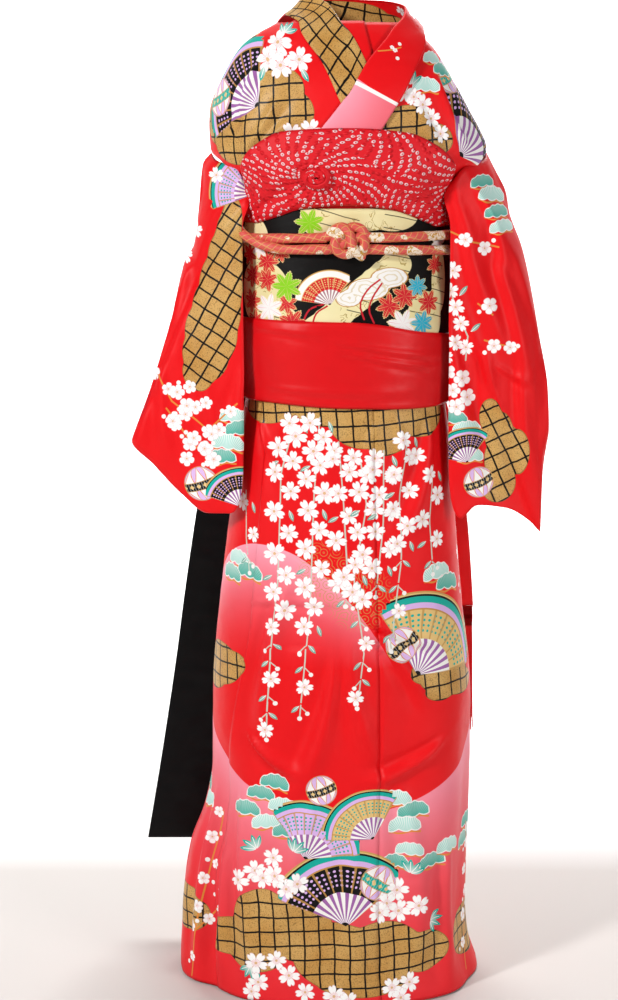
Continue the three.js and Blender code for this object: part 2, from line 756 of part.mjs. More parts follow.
// A hanging strip of folded cloth: each row gives its two edges and its depth on the way down.
const STRIP_ROW = ([z, rightX, leftX, y]) => ({ z, rightX, leftX, y });
const OBI_TAIL = {
  thickness: 3,
  columns: 4,
  steps: 14,
  rows: [
    // z,  right edge x, left edge x, y
    [-224, -104,         -16,         83.9],
    [-262, -122,         -26,         85.5],
    [-285, -130,         -30,         90],
    [-400, -150,         -44,         97],
    [-510, -170,         -54,         102],
    [-620, -187,         -66,         107],
    [-700, -198,         -74,         111],
    [-815, -216,         -88,         117],
    [-932, -236,         -104,        122],
  ].map(STRIP_ROW),
};
const SASH_TAIL = {
  thickness: 3,
  columns: 2,
  steps: 9,
  rows: [
    [-352, 84,  108, 67.5],
    [-440, 104, 130, 66],
    [-530, 118, 144, 69],
    [-600, 124, 150, 71],
    [-630, 132, 152, 72],
  ].map(STRIP_ROW),
};

function stripGeometry({ thickness, columns, steps, rows }) {
  const topZ = rows[0].z;
  const footZ = rows[rows.length - 1].z;
  const outer = Array.from({ length: steps + 1 }, (_, i) => {
    const z = lerp(topZ, footZ, i / steps);
    const at = (column) => smoothColumn(rows, 'z', column, z);
    return Array.from({ length: columns + 1 }, (__, j) => {
      const across = j / columns;
      return new THREE.Vector3(lerp(at('rightX'), at('leftX'), across), at('y'), z);
    });
  });
  return wallGeometry(outer, thickness);
}

// The sash end's fringe: strands whose roots are fused into a narrow strip.
const FRINGE = {
  strands: 12,
  length: 155,
  strandWidth: 1.6,
  stripHeight: 5,
  stripDepth: 4,
  spread: 2,              // how much further apart the strands hang at their ends
};

function toManifold(geometry) {
  const bare = geometry.clone();
  bare.deleteAttribute('normal');
  bare.deleteAttribute('uv');
  const merged = mergeVertices(bare, 1e-4);
  return new manifoldLibrary.Manifold(new manifoldLibrary.Mesh({
    numProp: 3,
    vertProperties: new Float32Array(merged.attributes.position.array),
    triVerts: new Uint32Array(merged.index.array),
  }));
}

function fromManifold(solid) {
  const mesh = solid.getMesh();
  return outwardGeometry(Array.from(mesh.vertProperties), Array.from(mesh.triVerts));
}

// A strand hangs from its root and leans away from the fringe's middle. No two are the same length.
function strandGeometry(rootX, rootY, topZ, leanX, leanY, number) {
  const steps = 3;
  const length = FRINGE.length * (0.86 + 0.14 * Math.cos(3.7 * number));
  const half = FRINGE.strandWidth / 2;
  const corners = [[-half, -half], [half, -half], [half, half], [-half, half]];
  const rings = Array.from({ length: steps + 1 }, (_, i) => {
    const share = i / steps;
    const x = rootX + leanX * share ** 2;
    const y = rootY + leanY * share;
    const z = topZ - length * share;
    return corners.map(([dx, dy]) => new THREE.Vector3(x + dx, y + dy, z));
  });
  return solidGeometry(rings);
}

function buildTails() {
  addPiece('obi_tail', stripGeometry(OBI_TAIL), silk(SATIN_BLACK, 0.3));
  addPiece('shigoki_tail', stripGeometry(SASH_TAIL), silk(SASH_RED, 0.35));

  const foot = SASH_TAIL.rows[SASH_TAIL.rows.length - 1];
  const width = foot.leftX - foot.rightX;
  const middleY = foot.y - SASH_TAIL.thickness / 2;
  const topZ = foot.z - REST_GAP;
  const strip = new THREE.BoxGeometry(width, FRINGE.stripDepth, FRINGE.stripHeight);
  strip.translate(foot.rightX + width / 2, middleY, topZ - FRINGE.stripHeight / 2);
  let fringe = toManifold(strip);
  const perRow = FRINGE.strands / 2;
  for (let i = 0; i < FRINGE.strands; i += 1) {
    const side = i < perRow ? -1 : 1;
    const fromMiddle = (i % perRow) - (perRow - 1) / 2;
    const rootX = foot.rightX + width / 2 + (width * fromMiddle) / perRow;
    const rootY = middleY + side * (FRINGE.stripDepth - FRINGE.strandWidth) / 2;
    const rootZ = topZ - FRINGE.stripHeight / 2;
    const leanX = FRINGE.spread * fromMiddle;
    const strand = strandGeometry(rootX, rootY, rootZ, leanX, side * FRINGE.spread, i);
    fringe = fringe.add(toManifold(strand));
  }
  addPiece('shigoki_fringe', fromManifold(fringe), silk(SASH_RED, 0.5));
}

buildBody();
buildCollar();
buildSleeves();
buildSashes();
buildCord();
buildKnots();
buildObiKnot();
buildTails();

export default garment;
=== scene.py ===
# A girl's long-sleeved kimono in its worn, hollow form: cloth shells, prints, sashes, cord and fringe.
# Tables are in millimetres, in the frame of the solids: +Z up, the front faces -Y, wearer's left is +X.
import math

import bmesh
import bpy
import mathutils
import numpy as np
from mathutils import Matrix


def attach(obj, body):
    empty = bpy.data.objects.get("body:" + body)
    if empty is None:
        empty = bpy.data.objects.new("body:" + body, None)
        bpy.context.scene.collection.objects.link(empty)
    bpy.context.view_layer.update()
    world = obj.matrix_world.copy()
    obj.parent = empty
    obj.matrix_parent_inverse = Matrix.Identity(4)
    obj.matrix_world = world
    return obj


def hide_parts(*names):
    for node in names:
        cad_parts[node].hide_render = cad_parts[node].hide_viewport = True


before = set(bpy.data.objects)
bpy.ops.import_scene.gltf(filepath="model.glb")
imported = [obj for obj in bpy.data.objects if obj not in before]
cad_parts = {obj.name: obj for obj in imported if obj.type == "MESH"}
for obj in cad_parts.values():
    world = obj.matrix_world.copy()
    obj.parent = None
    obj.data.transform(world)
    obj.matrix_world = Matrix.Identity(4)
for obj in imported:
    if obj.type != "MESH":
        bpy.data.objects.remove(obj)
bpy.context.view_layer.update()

MM = 0.001

# ---------------------------------------------------------------- driving sizes
HEM_Z = -1040
SHOULDER_Z = 32
CLOTH = 1.5            # one layer of lined silk
LAYER = 1.2            # clear space between two layers
OVERLAP_OUT = CLOTH + LAYER
SHELL = 1.2            # thickness of a cloth shell
SQUARE = 3.6           # side of one square of a cloth shell
SEAM = 0.12            # each panel stops this far before its seam
SEAM_DIP = 0.6         # how far cloth sinks at a sewn seam
SEAM_REACH = 3.2       # how far from the seam it starts to sink
BACK_WIDE = 205        # a back panel at its middle height
WAIST_LEVEL = -230     # where the sashes' round is measured
WAIST_ROUND = 620
WELD = 0.00002         # metres within which points are one
CREASE_LIFT = 1.7      # a crease's height against the height in its table
VALLEY = 0.55          # the depth of the hollow beside a crease, against its height
FRONT_CREASE_LIFT = 1.35

BODY_ROWS = [
    # z,   right,  left, front,  back
    (72, 38, 42, 20, 57),
    (60, 42, 50, 24, 60),
    (45, 54, 58, 30, 66),
    (32, 74, 70, 40, 70),
    (20, 97, 80, 50, 73),
    (8, 112, 92, 58, 76),
    (-4, 121, 101, 65, 78),
    (-20, 130, 110, 75, 80),
    (-40, 140, 122, 83, 82),
    (-60, 146, 133, 87, 83),
    (-80, 147, 144, 90, 83),
    (-100, 146, 152, 92, 82),
    (-114, 140, 150, 92, 80),
    (-128, 127, 134, 91, 78),
    (-144, 113, 114, 88, 76),
    (-160, 107, 107, 85, 75),
    (-200, 107, 107, 85, 75),
    (-290, 107, 108, 86, 76),
    (-360, 108, 109, 89, 78),
    (-420, 118, 115, 92, 82),
    (-500, 127, 122, 95, 88),
    (-600, 139, 131, 100, 94),
    (-700, 148, 142, 104, 100),
    (-800, 150, 144, 108, 106),
    (-850, 160, 143, 111, 110),
    (-900, 177, 141, 114, 114),
    (-950, 184, 140, 117, 117),
    (-1000, 187, 144, 121, 120),
    (-1040, 188, 156, 126, 123),
]
SECTION_POWER = 2.35

FOLD_ROWS = [
    # angle top, angle foot, top z, foot z, depth, spread
    (-66, -50, -720, -1080, 12, 13),
    (72, 66, -640, -1080, 6, 12),
    (-20, -16, -400, -640, 3, 10),
    (28, 20, -560, -900, 4, 12),
    (-118, -124, -480, -1080, 9, 13),
    (122, 128, -480, -1080, 8, 13),
    (-156, -160, -620, -1080, 5, 12),
    (156, 160, -560, -1080, 6, 12),
]
FREE_EDGE_ROWS = [(-150, -46), (-372, -52), (-425, -44), (-600, -44), (-800, -58), (-920, -56), (HEM_Z, -50)]
ARMHOLE = {"middle": -127, "half": 23, "reach": 25}
NECK_SIDE = 10
HIDDEN_X = 16
LEAST_TURN = 4
OKUMI_SEAM = 12
UNDER_OKUMI_SEAM = -22
UNDER_OKUMI_EDGE = 44


# ---------------------------------------------------------------- small maths
class Column:
    """A smooth curve through a table's column, never past a row's value between rows."""

    def __init__(self, keys, values):
        order = np.argsort(keys)
        self.keys = np.array(keys, float)[order]
        self.values = np.array(values, float)[order]
        slope = np.diff(self.values) / np.diff(self.keys)
        same = slope[:-1] * slope[1:] > 0
        total = np.where(same, slope[:-1] + slope[1:], 1)
        meet = np.where(same, 2 * slope[:-1] * slope[1:] / total, 0)
        self.slope = np.concatenate([slope[:1], meet, slope[-1:]])

    def __call__(self, at):
        at = np.clip(at, self.keys[0], self.keys[-1])
        i = np.clip(np.searchsorted(self.keys, at, side="right") - 1, 0, len(self.keys) - 2)
        span = self.keys[i + 1] - self.keys[i]
        t = (at - self.keys[i]) / span
        start = (1 + 2 * t) * (1 - t) ** 2 * self.values[i] + t * (1 - t) ** 2 * span * self.slope[i]
        end = t * t * (3 - 2 * t) * self.values[i + 1] + t * t * (t - 1) * span * self.slope[i + 1]
        return start + end


def columns(rows):
    """One smooth curve for each column of a table, by its first column."""
    keys = [row[0] for row in rows]
    return [Column(keys, [row[i] for row in rows]) for i in range(1, len(rows[0]))]


def lerp(a, b, share):
    return a + (b - a) * share


def ease(x, low, high):
    t = np.clip((x - low) / (high - low), 0, 1)
    return t * t * (3 - 2 * t)


def unit(vectors):
    return vectors / np.maximum(np.linalg.norm(vectors, axis=-1, keepdims=True), 1e-9)


# ---------------------------------------------------------------- the body's surface
RIGHT, LEFT, FRONT, BACK = columns(BODY_ROWS)


def fold_depth(angle, z):
    depth = np.zeros(np.broadcast(angle, z).shape)
    for angle_top, angle_foot, top_z, foot_z, deep, spread in FOLD_ROWS:
        down = (top_z - z) / (top_z - foot_z)
        middle = lerp(angle_top, angle_foot, down)
        off = ((angle - middle + 180) % 360 - 180) / spread
        strength = ease(down, 0, 0.45) * ease(1.2 - down, 0, 0.25) * (down >= 0) * (down <= 1)
        depth = depth + deep * strength * np.exp(-off * off)
    return depth


def body_section(angle, z):
    angle, z = np.broadcast_arrays(np.asarray(angle, float), np.asarray(z, float))
    s = np.sin(np.radians(angle))
    c = np.cos(np.radians(angle))
    fold = fold_depth(angle, z)
    half_width = np.where(s >= 0, LEFT(z), RIGHT(z)) - fold
    half_depth = np.where(c >= 0, FRONT(z), BACK(z)) - fold
    power = 2 / SECTION_POWER
    x = np.sign(s) * half_width * np.abs(s) ** power
    y = -np.sign(c) * half_depth * np.abs(c) ** power
    return np.stack([x, y, z], -1)


def body_point(angle, z, out):
    """Points of the body's surface, moved out along its own normal."""
    turn, rise = 1.5, 3
    across = body_section(angle + turn, z) - body_section(angle - turn, z)
    up = body_section(angle, z + rise) - body_section(angle, z - rise)
    return body_section(angle, z) + unit(np.cross(across, up)) * np.asarray(out)[..., None]


def waist_point(angle, z, out):
    """Points beside the body, moved straight out from the upright waist."""
    turn = 1.5
    across = body_section(angle + turn, z) - body_section(angle - turn, z)
    side = unit(np.stack([across[..., 1], -across[..., 0], np.zeros(across.shape[:-1])], -1))
    return body_section(angle, z) + side * np.asarray(out)[..., None]


def front_angle(x, z):
    width = np.where(np.asarray(x) >= 0, LEFT(z), RIGHT(z))
    share = np.minimum(np.abs(x) / width, 0.999)
    return np.sign(x) * np.degrees(np.arcsin(share ** (SECTION_POWER / 2)))


# Distance along the cloth from the middle of the front, for every degree and height.
ROUND_ANGLES = np.arange(-180, 181, 2.0)
ROUND_HEIGHTS = np.arange(HEM_Z - 20, 80, 10.0)


def measure_round():
    points = body_section(ROUND_ANGLES[None, :], ROUND_HEIGHTS[:, None])
    steps = np.linalg.norm(np.diff(points, axis=1), axis=-1)
    total = np.concatenate([np.zeros((len(ROUND_HEIGHTS), 1)), np.cumsum(steps, 1)], 1)
    return total - total[:, [len(ROUND_ANGLES) // 2]]


ROUND_LENGTHS = measure_round()


def across_at(angle, z):
    """Millimetres along the cloth from the middle of the front, on the level."""
    i = (np.clip(angle, -180, 180) + 180) / 2
    j = np.clip((z - ROUND_HEIGHTS[0]) / 10, 0, len(ROUND_HEIGHTS) - 1.001)
    i0 = np.minimum(i.astype(int), len(ROUND_ANGLES) - 2)
    j0 = j.astype(int)
    low = lerp(ROUND_LENGTHS[j0, i0], ROUND_LENGTHS[j0, i0 + 1], i - i0)
    high = lerp(ROUND_LENGTHS[j0 + 1, i0], ROUND_LENGTHS[j0 + 1, i0 + 1], i - i0)
    return lerp(low, high, j - j0)


# ---------------------------------------------------------------- creases
def creased(rows, a, b):
    """How far creases move the cloth at (a, b). A row is a line with a height, a width and a bow."""
    moved = np.zeros(np.broadcast(a, b).shape)
    for a0, b0, a1, b1, height, width, bow in rows:
        length = math.hypot(a1 - a0, b1 - b0)
        along_a, along_b = (a1 - a0) / length, (b1 - b0) / length
        along = (a - a0) * along_a + (b - b0) * along_b
        share = along / length
        off = (a - a0) * along_b - (b - b0) * along_a - bow * 4 * share * (1 - share)
        near = width * (0.45 + 0.75 * np.clip(share, 0, 1))
        fade = ease(share, -0.08, 0.25) * ease(1.08 - share, 0, 0.38)
        ridge = np.exp(-(off / near) ** 2) - VALLEY * np.exp(-((off - 1.5 * near) / near) ** 2)
        moved = moved + CREASE_LIFT * height * fade * ridge
    return moved


def ripple(a, b, size, seed):
    """Soft uneven waves of about one millimetre, for cloth that isn't pressed flat."""
    rng = np.random.default_rng(seed)
    total = 0
    for _ in range(7):
        turn = rng.uniform(0, math.pi)
        wave = size * rng.uniform(0.6, 1.7)
        phase = rng.uniform(0, 6.28)
        along = a * math.cos(turn) + b * math.sin(turn)
        total = total + np.sin(6.28 * along / wave + phase + 0.9 * np.sin(b / size + phase))
    return total / 7


# ---------------------------------------------------------------- making cloth pieces
def reshape(mesh, change):
    """Lets change(bm) edit a mesh."""
    bm = bmesh.new()
    bm.from_mesh(mesh)
    change(bm)
    bm.to_mesh(mesh)
    bm.free()


def weld_points(bm):
    bmesh.ops.remove_doubles(bm, verts=bm.verts, dist=WELD)


def close_ends(bm):
    bmesh.ops.holes_fill(bm, edges=[edge for edge in bm.edges if edge.is_boundary], sides=0)


def new_piece(name, node, mesh, materials):
    piece = bpy.data.objects.new(name, mesh)
    bpy.context.scene.collection.objects.link(piece)
    for material in materials:
        mesh.materials.append(material)
    mesh.polygons.foreach_set("use_smooth", np.ones(len(mesh.polygons), bool))
    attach(piece, "root")
    if node:
        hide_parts(node)
    return piece


def cloth_mesh(name, across, down, place, chart, weld=False):
    """A grid of squares. place(u, v) gives points in mm, chart(u, v) their spots on the cloth in mm."""
    bm = bmesh.new()
    bmesh.ops.create_grid(bm, x_segments=across, y_segments=down, size=0.5)
    mesh = bpy.data.meshes.new(name)
    bm.to_mesh(mesh)
    bm.free()
    flat = np.zeros(len(mesh.vertices) * 3, np.float32)
    mesh.vertices.foreach_get("co", flat)
    flat = flat.reshape(-1, 3).astype(float)
    u = np.clip(flat[:, 0] + 0.5, 0, 1)
    v = np.clip(0.5 - flat[:, 1], 0, 1)
    mesh.vertices.foreach_set("co", (place(u, v) * MM).astype(np.float32).ravel())
    spots = np.stack(chart(u, v), -1) * MM
    corner = np.zeros(len(mesh.loops), np.int32)
    mesh.loops.foreach_get("vertex_index", corner)
    layer = mesh.uv_layers.new(name="cloth")
    layer.uv.foreach_set("vector", spots[corner].astype(np.float32).ravel())
    if weld:
        reshape(mesh, weld_points)
    mesh.update()
    return mesh


def give_thickness(piece, thickness):
    solid = piece.modifiers.new("thickness", "SOLIDIFY")
    solid.thickness = thickness * MM
    solid.offset = -1
    solid.use_even_offset = False
    solid.material_offset = 1
    solid.material_offset_rim = 0


def corner_spots(mesh):
    """Where each corner of a face lies on the cloth, in metres."""
    uv = np.zeros(len(mesh.loops) * 2, np.float32)
    mesh.uv_layers["cloth"].uv.foreach_get("vector", uv)
    return uv.reshape(-1, 2).astype(float)


def face_spots(mesh):
    """The middle of each face on the cloth, in metres."""
    uv = corner_spots(mesh)
    start = np.zeros(len(mesh.polygons), np.int32)
    count = np.zeros(len(mesh.polygons), np.int32)
    mesh.polygons.foreach_get("loop_start", start)
    mesh.polygons.foreach_get("loop_total", count)
    return np.add.reduceat(uv, start) / count[:, None]


def set_attribute(mesh, name, domain, values):
    kind = "FLOAT" if values.ndim == 1 else "FLOAT_VECTOR"
    layer = mesh.attributes.new(name, kind, domain)
    layer.data.foreach_set("value" if values.ndim == 1 else "vector", values.astype(np.float32).ravel())


# ---------------------------------------------------------------- prints: laying motifs on the cloth
# A motif is (x, z, turn, size, kind, tint) on the cloth. Each face of a piece keeps the few that reach it.
NOWHERE = -9.0


def lay(mesh, label, slots, motifs):
    """Gives each face the topmost motifs that reach it, as two vectors for each slot."""
    spots = face_spots(mesh)
    kept = np.zeros((slots, len(spots), 6))
    kept[:, :, :2] = NOWHERE
    kept[:, :, 3] = 1e-3
    for x, z, turn, size, kind, tint in motifs:
        reach = (size * 1.12 + 0.8 * SQUARE) * MM
        near = np.nonzero((spots[:, 0] - x * MM) ** 2 + (spots[:, 1] - z * MM) ** 2 < reach ** 2)[0]
        if len(near):
            kept[1:, near] = kept[:-1, near]
            kept[0, near] = (x * MM, z * MM, math.radians(turn), size * MM, kind, tint)
    for slot in range(slots):
        set_attribute(mesh, f"{label}_at_{slot}", "FACE", kept[slot, :, :3])
        set_attribute(mesh, f"{label}_is_{slot}", "FACE", kept[slot, :, 3:])


def lay_lines(mesh, slots, lines):
    """The same for twigs and stems: straight lines (x, z, x, z, width, tint)."""
    spots = face_spots(mesh)
    kept = np.full((slots, len(spots), 6), NOWHERE)
    kept[:, :, 2:4] = NOWHERE + 0.01
    kept[:, :, 4] = 1e-4
    for x0, z0, x1, z1, width, tint in lines:
        middle = np.array([(x0 + x1) / 2, (z0 + z1) / 2]) * MM
        reach = (math.hypot(x1 - x0, z1 - z0) / 2 + width + 0.8 * SQUARE) * MM
        near = np.nonzero(((spots - middle) ** 2).sum(1) < reach ** 2)[0]
        a = np.array([x0, z0]) * MM
        along = np.array([x1 - x0, z1 - z0]) * MM
        share = np.clip(((spots[near] - a) @ along) / (along @ along), 0, 1)
        away = np.linalg.norm(spots[near] - a - share[:, None] * along, axis=1)
        near = near[away < (width + 0.8 * SQUARE) * MM]
        if len(near):
            kept[1:, near] = kept[:-1, near]
            kept[0, near] = (x0 * MM, z0 * MM, x1 * MM, z1 * MM, width * MM, tint)
    for slot in range(slots):
        set_attribute(mesh, f"stem_from_{slot}", "FACE", kept[slot, :, [0, 1, 4]].T)
        set_attribute(mesh, f"stem_to_{slot}", "FACE", kept[slot, :, [2, 3, 5]].T)


def lobes_distance(lobes, x, z):
    """Distance in mm to a cloud made of round lobes (x, z, half width, half height); below 0 inside."""
    best = np.full(x.shape, 1e3)
    for lobe_x, lobe_z, half_x, half_z in lobes:
        near = np.hypot((x - lobe_x) / half_x, (z - lobe_z) / half_z)
        best = np.minimum(best, (near - 1) * min(half_x, half_z))
    return best


def smooth_route(points, count):
    """A Catmull-Rom curve through given points, as an array of count points."""
    points = np.array(points, float)
    padded = np.vstack([2 * points[0] - points[1], points, 2 * points[-1] - points[-2]])
    t = np.linspace(0, len(points) - 1.0001, count)
    i = t.astype(int)
    f = (t - i)[:, None]
    a, b, c, d = padded[i], padded[i + 1], padded[i + 2], padded[i + 3]
    square, cube = 2 * a - 5 * b + 4 * c - d, 3 * b - a - 3 * c + d
    return 0.5 * (2 * b + (c - a) * f + square * f ** 2 + cube * f ** 3)


# ---------------------------------------------------------------- motif tables, (across, height) in mm
CHERRY, LEAF, BUD, PLUM, MAPLE = range(5)          # small motifs
PINE, FAN, BALL = range(3)                         # large motifs
LEAF_TEAL, LEAF_GREY = 0.0, 1.0
STEM_WHITE, STEM_GREY, STEM_GOLD, STEM_RED = 0.0, 0.3, 0.6, 1.0


class Design:
    """The motifs of one cloth: large ones, small ones, stems, and the lobes of its gold clouds."""

    def __init__(self, seed):
        self.rng = np.random.default_rng(seed)
        self.large, self.small, self.stems = [], [], []
        self.clouds, self.hills, self.scrolls = [], [], []

    def blossom(self, x, z, size=11.5, kind=CHERRY):
        self.small.append((x, z, self.rng.uniform(0, 360), size, kind, self.rng.uniform(0, 1)))

    def leaf(self, x, z, turn, size=8, tint=LEAF_TEAL):
        self.small.append((x, z, turn, size, LEAF, tint))

    def bud(self, x, z, size=2.4):
        self.small.append((x, z, 0, size, BUD, 0))

    def blossoms(self, places, size=11.5, kind=CHERRY):
        for x, z in places:
            self.blossom(x, z, size * self.rng.uniform(0.9, 1.08), kind)

    def stem(self, points, width=0.8, tint=STEM_GREY):
        for (x0, z0), (x1, z1) in zip(points, points[1:]):
            self.stems.append((x0, z0, x1, z1, width, tint))

    def spray(self, x, z, turn, size=9):
        """Three or four leaves that fan out from one place."""
        for off in (-42, -8, 28, 60):
            a = math.radians(turn + off)
            self.leaf(x + size * math.cos(a), z + size * math.sin(a), turn + off, size * 0.9)

    def garland(self, points, blossom_to, size=11.5, full=1.0):
        """A hanging bough: a stem with blossoms to a share of its length, then leaves and buds."""
        steps = 26
        line = np.array(points, float)
        share = np.linspace(0, 1, len(line))
        at = [tuple(np.array([np.interp(s, share, line[:, 0]), np.interp(s, share, line[:, 1])]))
              for s in np.linspace(0, 1, steps)]
        self.stem(at, 0.75)
        length = np.hypot(*np.diff(line, axis=0).T).sum()
        count = int(length / (23 / full))
        for i in range(count):
            s = (i + 0.4) / count
            x = np.interp(s, share, line[:, 0])
            z = np.interp(s, share, line[:, 1])
            side = 1 if i % 2 else -1
            off = side * self.rng.uniform(4, 11)
            if s < blossom_to:
                self.blossom(x + off, z, size * self.rng.uniform(0.88, 1.1))
                if i % 3 == 0:
                    self.leaf(x - side * 12, z - 4, 250 - side * 40, 6.5, LEAF_GREY)
            elif i % 3 == 0:
                self.blossom(x + off * 0.4, z, size * 0.82)
            else:
                self.leaf(x + side * 6, z - 3, 270 + side * 48, 6, LEAF_GREY)
                self.stem([(x, z), (x - side * 7, z - 7)], 0.6)
                self.bud(x - side * 7, z - 8)
        self.bud(line[-1][0], line[-1][1], 2.6)

    def twig(self, points, blossoms, size=7.5, tint=STEM_GOLD):
        """A plum twig with round blossoms and buds along it."""
        self.stem(points, 0.9, tint)
        line = np.array(points, float)
        share = np.linspace(0, 1, len(line))
        for i in range(blossoms):
            s = (i + 0.7) / blossoms
            x = np.interp(s, share, line[:, 0]) + self.rng.uniform(-7, 7)
            z = np.interp(s, share, line[:, 1]) + self.rng.uniform(-7, 7)
            self.blossom(x, z, size * self.rng.uniform(0.85, 1.15), PLUM)
            self.bud(x + self.rng.uniform(8, 12) * (1 if i % 2 else -1), z + self.rng.uniform(-9, 9))

    def pines(self, pads, size=15):
        """Pine pads, each a low cushion of needles with a twig under it. A pad is x, z, teal share."""
        for x, z, tint in pads:
            self.large.append((x, z, self.rng.uniform(-8, 8), size * self.rng.uniform(0.92, 1.1), PINE, tint))

    def fan(self, x, z, turn, size, tint=0.0):
        self.large.append((x, z, turn, size, FAN, tint))

    def ball(self, x, z, turn, size, tint=0.0):
        self.large.append((x, z, turn, size, BALL, tint))

    def cloud(self, *lobes):
        self.clouds.extend(lobes)

    def moved(self, shift):
        """The same design with every motif's place along the cloth changed by shift(x, z)."""
        made = Design(0)
        for name in ("large", "small", "clouds", "hills", "scrolls"):
            setattr(made, name, [(shift(row[0], row[1]), *row[1:]) for row in getattr(self, name)])
        made.stems = [(shift(a, b), b, shift(c, d), d, *rest) for a, b, c, d, *rest in self.stems
                      if (a > 0) == (c > 0)]
        return made


def front_design():
    """Fronts and overlaps, measured from the middle of the front along the cloth."""
    d = Design(11)
    # Gold clouds.
    d.cloud((-92, -368, 44, 26), (-22, -372, 36, 22), (18, -378, 40, 40), (42, -388, 30, 38),
            (82, -378, 34, 30))
    d.cloud((-160, -668, 40, 24), (-132, -664, 18, 14), (-176, -684, 30, 16))
    d.cloud((118, -672, 38, 24), (88, -668, 18, 12), (140, -686, 30, 14), (108, -690, 20, 12))
    d.cloud((-128, -972, 34, 22), (-90, -948, 38, 36), (-52, -952, 38, 40), (-8, -984, 50, 38))
    d.cloud((42, -982, 46, 36), (88, -985, 32, 24), (18, -1012, 52, 20), (-100, -985, 34, 22))
    d.cloud((-74, -40, 30, 26), (-92, -66, 34, 26), (-60, -62, 26, 24), (-120, -92, 36, 24),
            (-148, -72, 30, 24))
    d.cloud((64, -76, 30, 22), (88, -90, 26, 18), (176, -640, 30, 20), (200, -655, 26, 18))
    d.cloud((190, -985, 60, 30), (240, -965, 50, 26), (-215, -960, 46, 26))
    d.scrolls = [(-18, -560, 34, 30), (14, -580, 34, 34), (-30, -536, 20, 16)]
    # Pink hills: the upper edge is an arc, (x, z of its top, half width, drop at the ends, far or near).
    d.hills = [(-94, -526, 130, 105, 0), (-270, -560, 90, 90, 0), (0, -826, 137, -45, 1)]
    # Hanging cherry boughs.
    d.garland([(-54, -386), (-70, -450), (-74, -560), (-80, -650), (-86, -742)], 0.64, 12, 1.25)
    d.garland([(-28, -384), (-34, -470), (-38, -590), (-50, -716)], 0.74, 12, 1.2)
    d.garland([(-8, -410), (-2, -480), (2, -560), (0, -590)], 0.86, 11.5, 1.2)
    d.garland([(14, -420), (22, -480), (8, -560), (20, -640), (12, -702)], 0.62, 11.5, 1.1)
    d.garland([(40, -420), (40, -500), (32, -580)], 0.9, 11, 1.15)
    d.garland([(66, -402), (58, -470), (60, -540), (48, -640)], 0.6, 11, 1.1)
    d.garland([(98, -440), (94, -500), (98, -560)], 0.7, 10.5)
    d.garland([(-118, -470), (-116, -520), (-110, -560)], 0.5, 10)
    d.garland([(160, -400), (166, -480), (158, -590)], 0.7, 11)
    d.blossoms([(-14, -428), (28, -440), (78, -428)], 11)
    # Boughs of pine.
    d.pines([(-128, -548, 0.15), (-110, -560, 0.9), (-142, -566, 0.5), (104, -560, 0.2),
             (122, -574, 0.9)], 19)
    d.pines([(-78, -792, 0.9), (-94, -806, 0.85), (-68, -818, 0.1), (-112, -826, 0.8), (-88, -838, 0.12)], 17)
    d.pines([(-64, -846, 0.9), (56, -810, 0.1), (76, -824, 0.9), (66, -840, 0.12)], 17)
    d.pines([(72, -868, 0.15), (54, -882, 0.9), (98, -884, 0.85), (122, -872, 0.12)], 17)
    d.pines([(180, -860, 0.9), (200, -874, 0.2), (168, -880, 0.5), (-205, -820, 0.8), (-190, -836, 0.2)], 18)
    # Open fans and thread balls.
    d.fan(-4, -918, 8, 58, 0.0)
    d.fan(-34, -852, -24, 44, 0.35)
    d.fan(20, -834, 30, 38, 0.7)
    d.ball(-26, -796, 20, 17, 0.0)
    d.ball(36, -902, -30, 20, 0.5)
    d.fan(96, -640, -30, 62, 0.7)
    d.ball(62, -634, 35, 20, 0.2)
    d.fan(-118, -40, 58, 52, 0.0)
    d.ball(-150, -46, 20, 20, 0.4)
    d.fan(148, -84, -48, 62, 0.0)
    d.ball(122, -24, 20, 19, 0.6)
    d.pines([(96, -8, 0.3), (110, -20, 0.9), (84, -36, 0.1)], 14)
    # Clusters near the hem and on the chest.
    d.spray(-98, -868, 120)
    d.spray(-56, -866, 55)
    d.blossoms([(-80, -876), (-100, -892), (-92, -900), (-78, -896), (-118, -904), (-64, -908),
                (-52, -902)], 12.5)
    d.spray(72, -894, 60)
    d.spray(96, -952, -20)
    d.blossoms([(58, -912), (46, -926), (60, -936), (80, -930), (38, -936)], 12.5)
    d.spray(-104, -1000, 250)
    d.blossoms([(-98, -996), (-76, -992), (-62, -1008), (-96, -1018), (-104, -1030), (-44, -1026)], 12)
    d.blossoms([(-12, -1030), (52, -1022), (72, -1018), (62, -1034), (4, -1036)], 12)
    d.blossoms([(-72, 8), (-84, -8), (-70, -14), (-50, -8)], 13.5)
    d.spray(-66, 18, 60, 8)
    d.leaf(-44, -24, 300, 8)
    d.leaf(-90, -22, 250, 8)
    d.blossoms([(-58, -84), (-38, -80), (-76, -104), (-100, -122), (-20, -96)], 12)
    d.blossoms([(70, -46), (80, -54), (90, -68), (60, -42), (100, -84)], 10.5)
    d.spray(68, -34, 80, 8)
    d.twig([(-196, -1036), (-182, -960), (-170, -900), (-158, -840)], 7, 6.5)
    d.twig([(-186, -980), (-160, -950), (-146, -930)], 3, 6)
    d.twig([(170, -1030), (188, -930), (176, -860)], 6, 7)
    return d


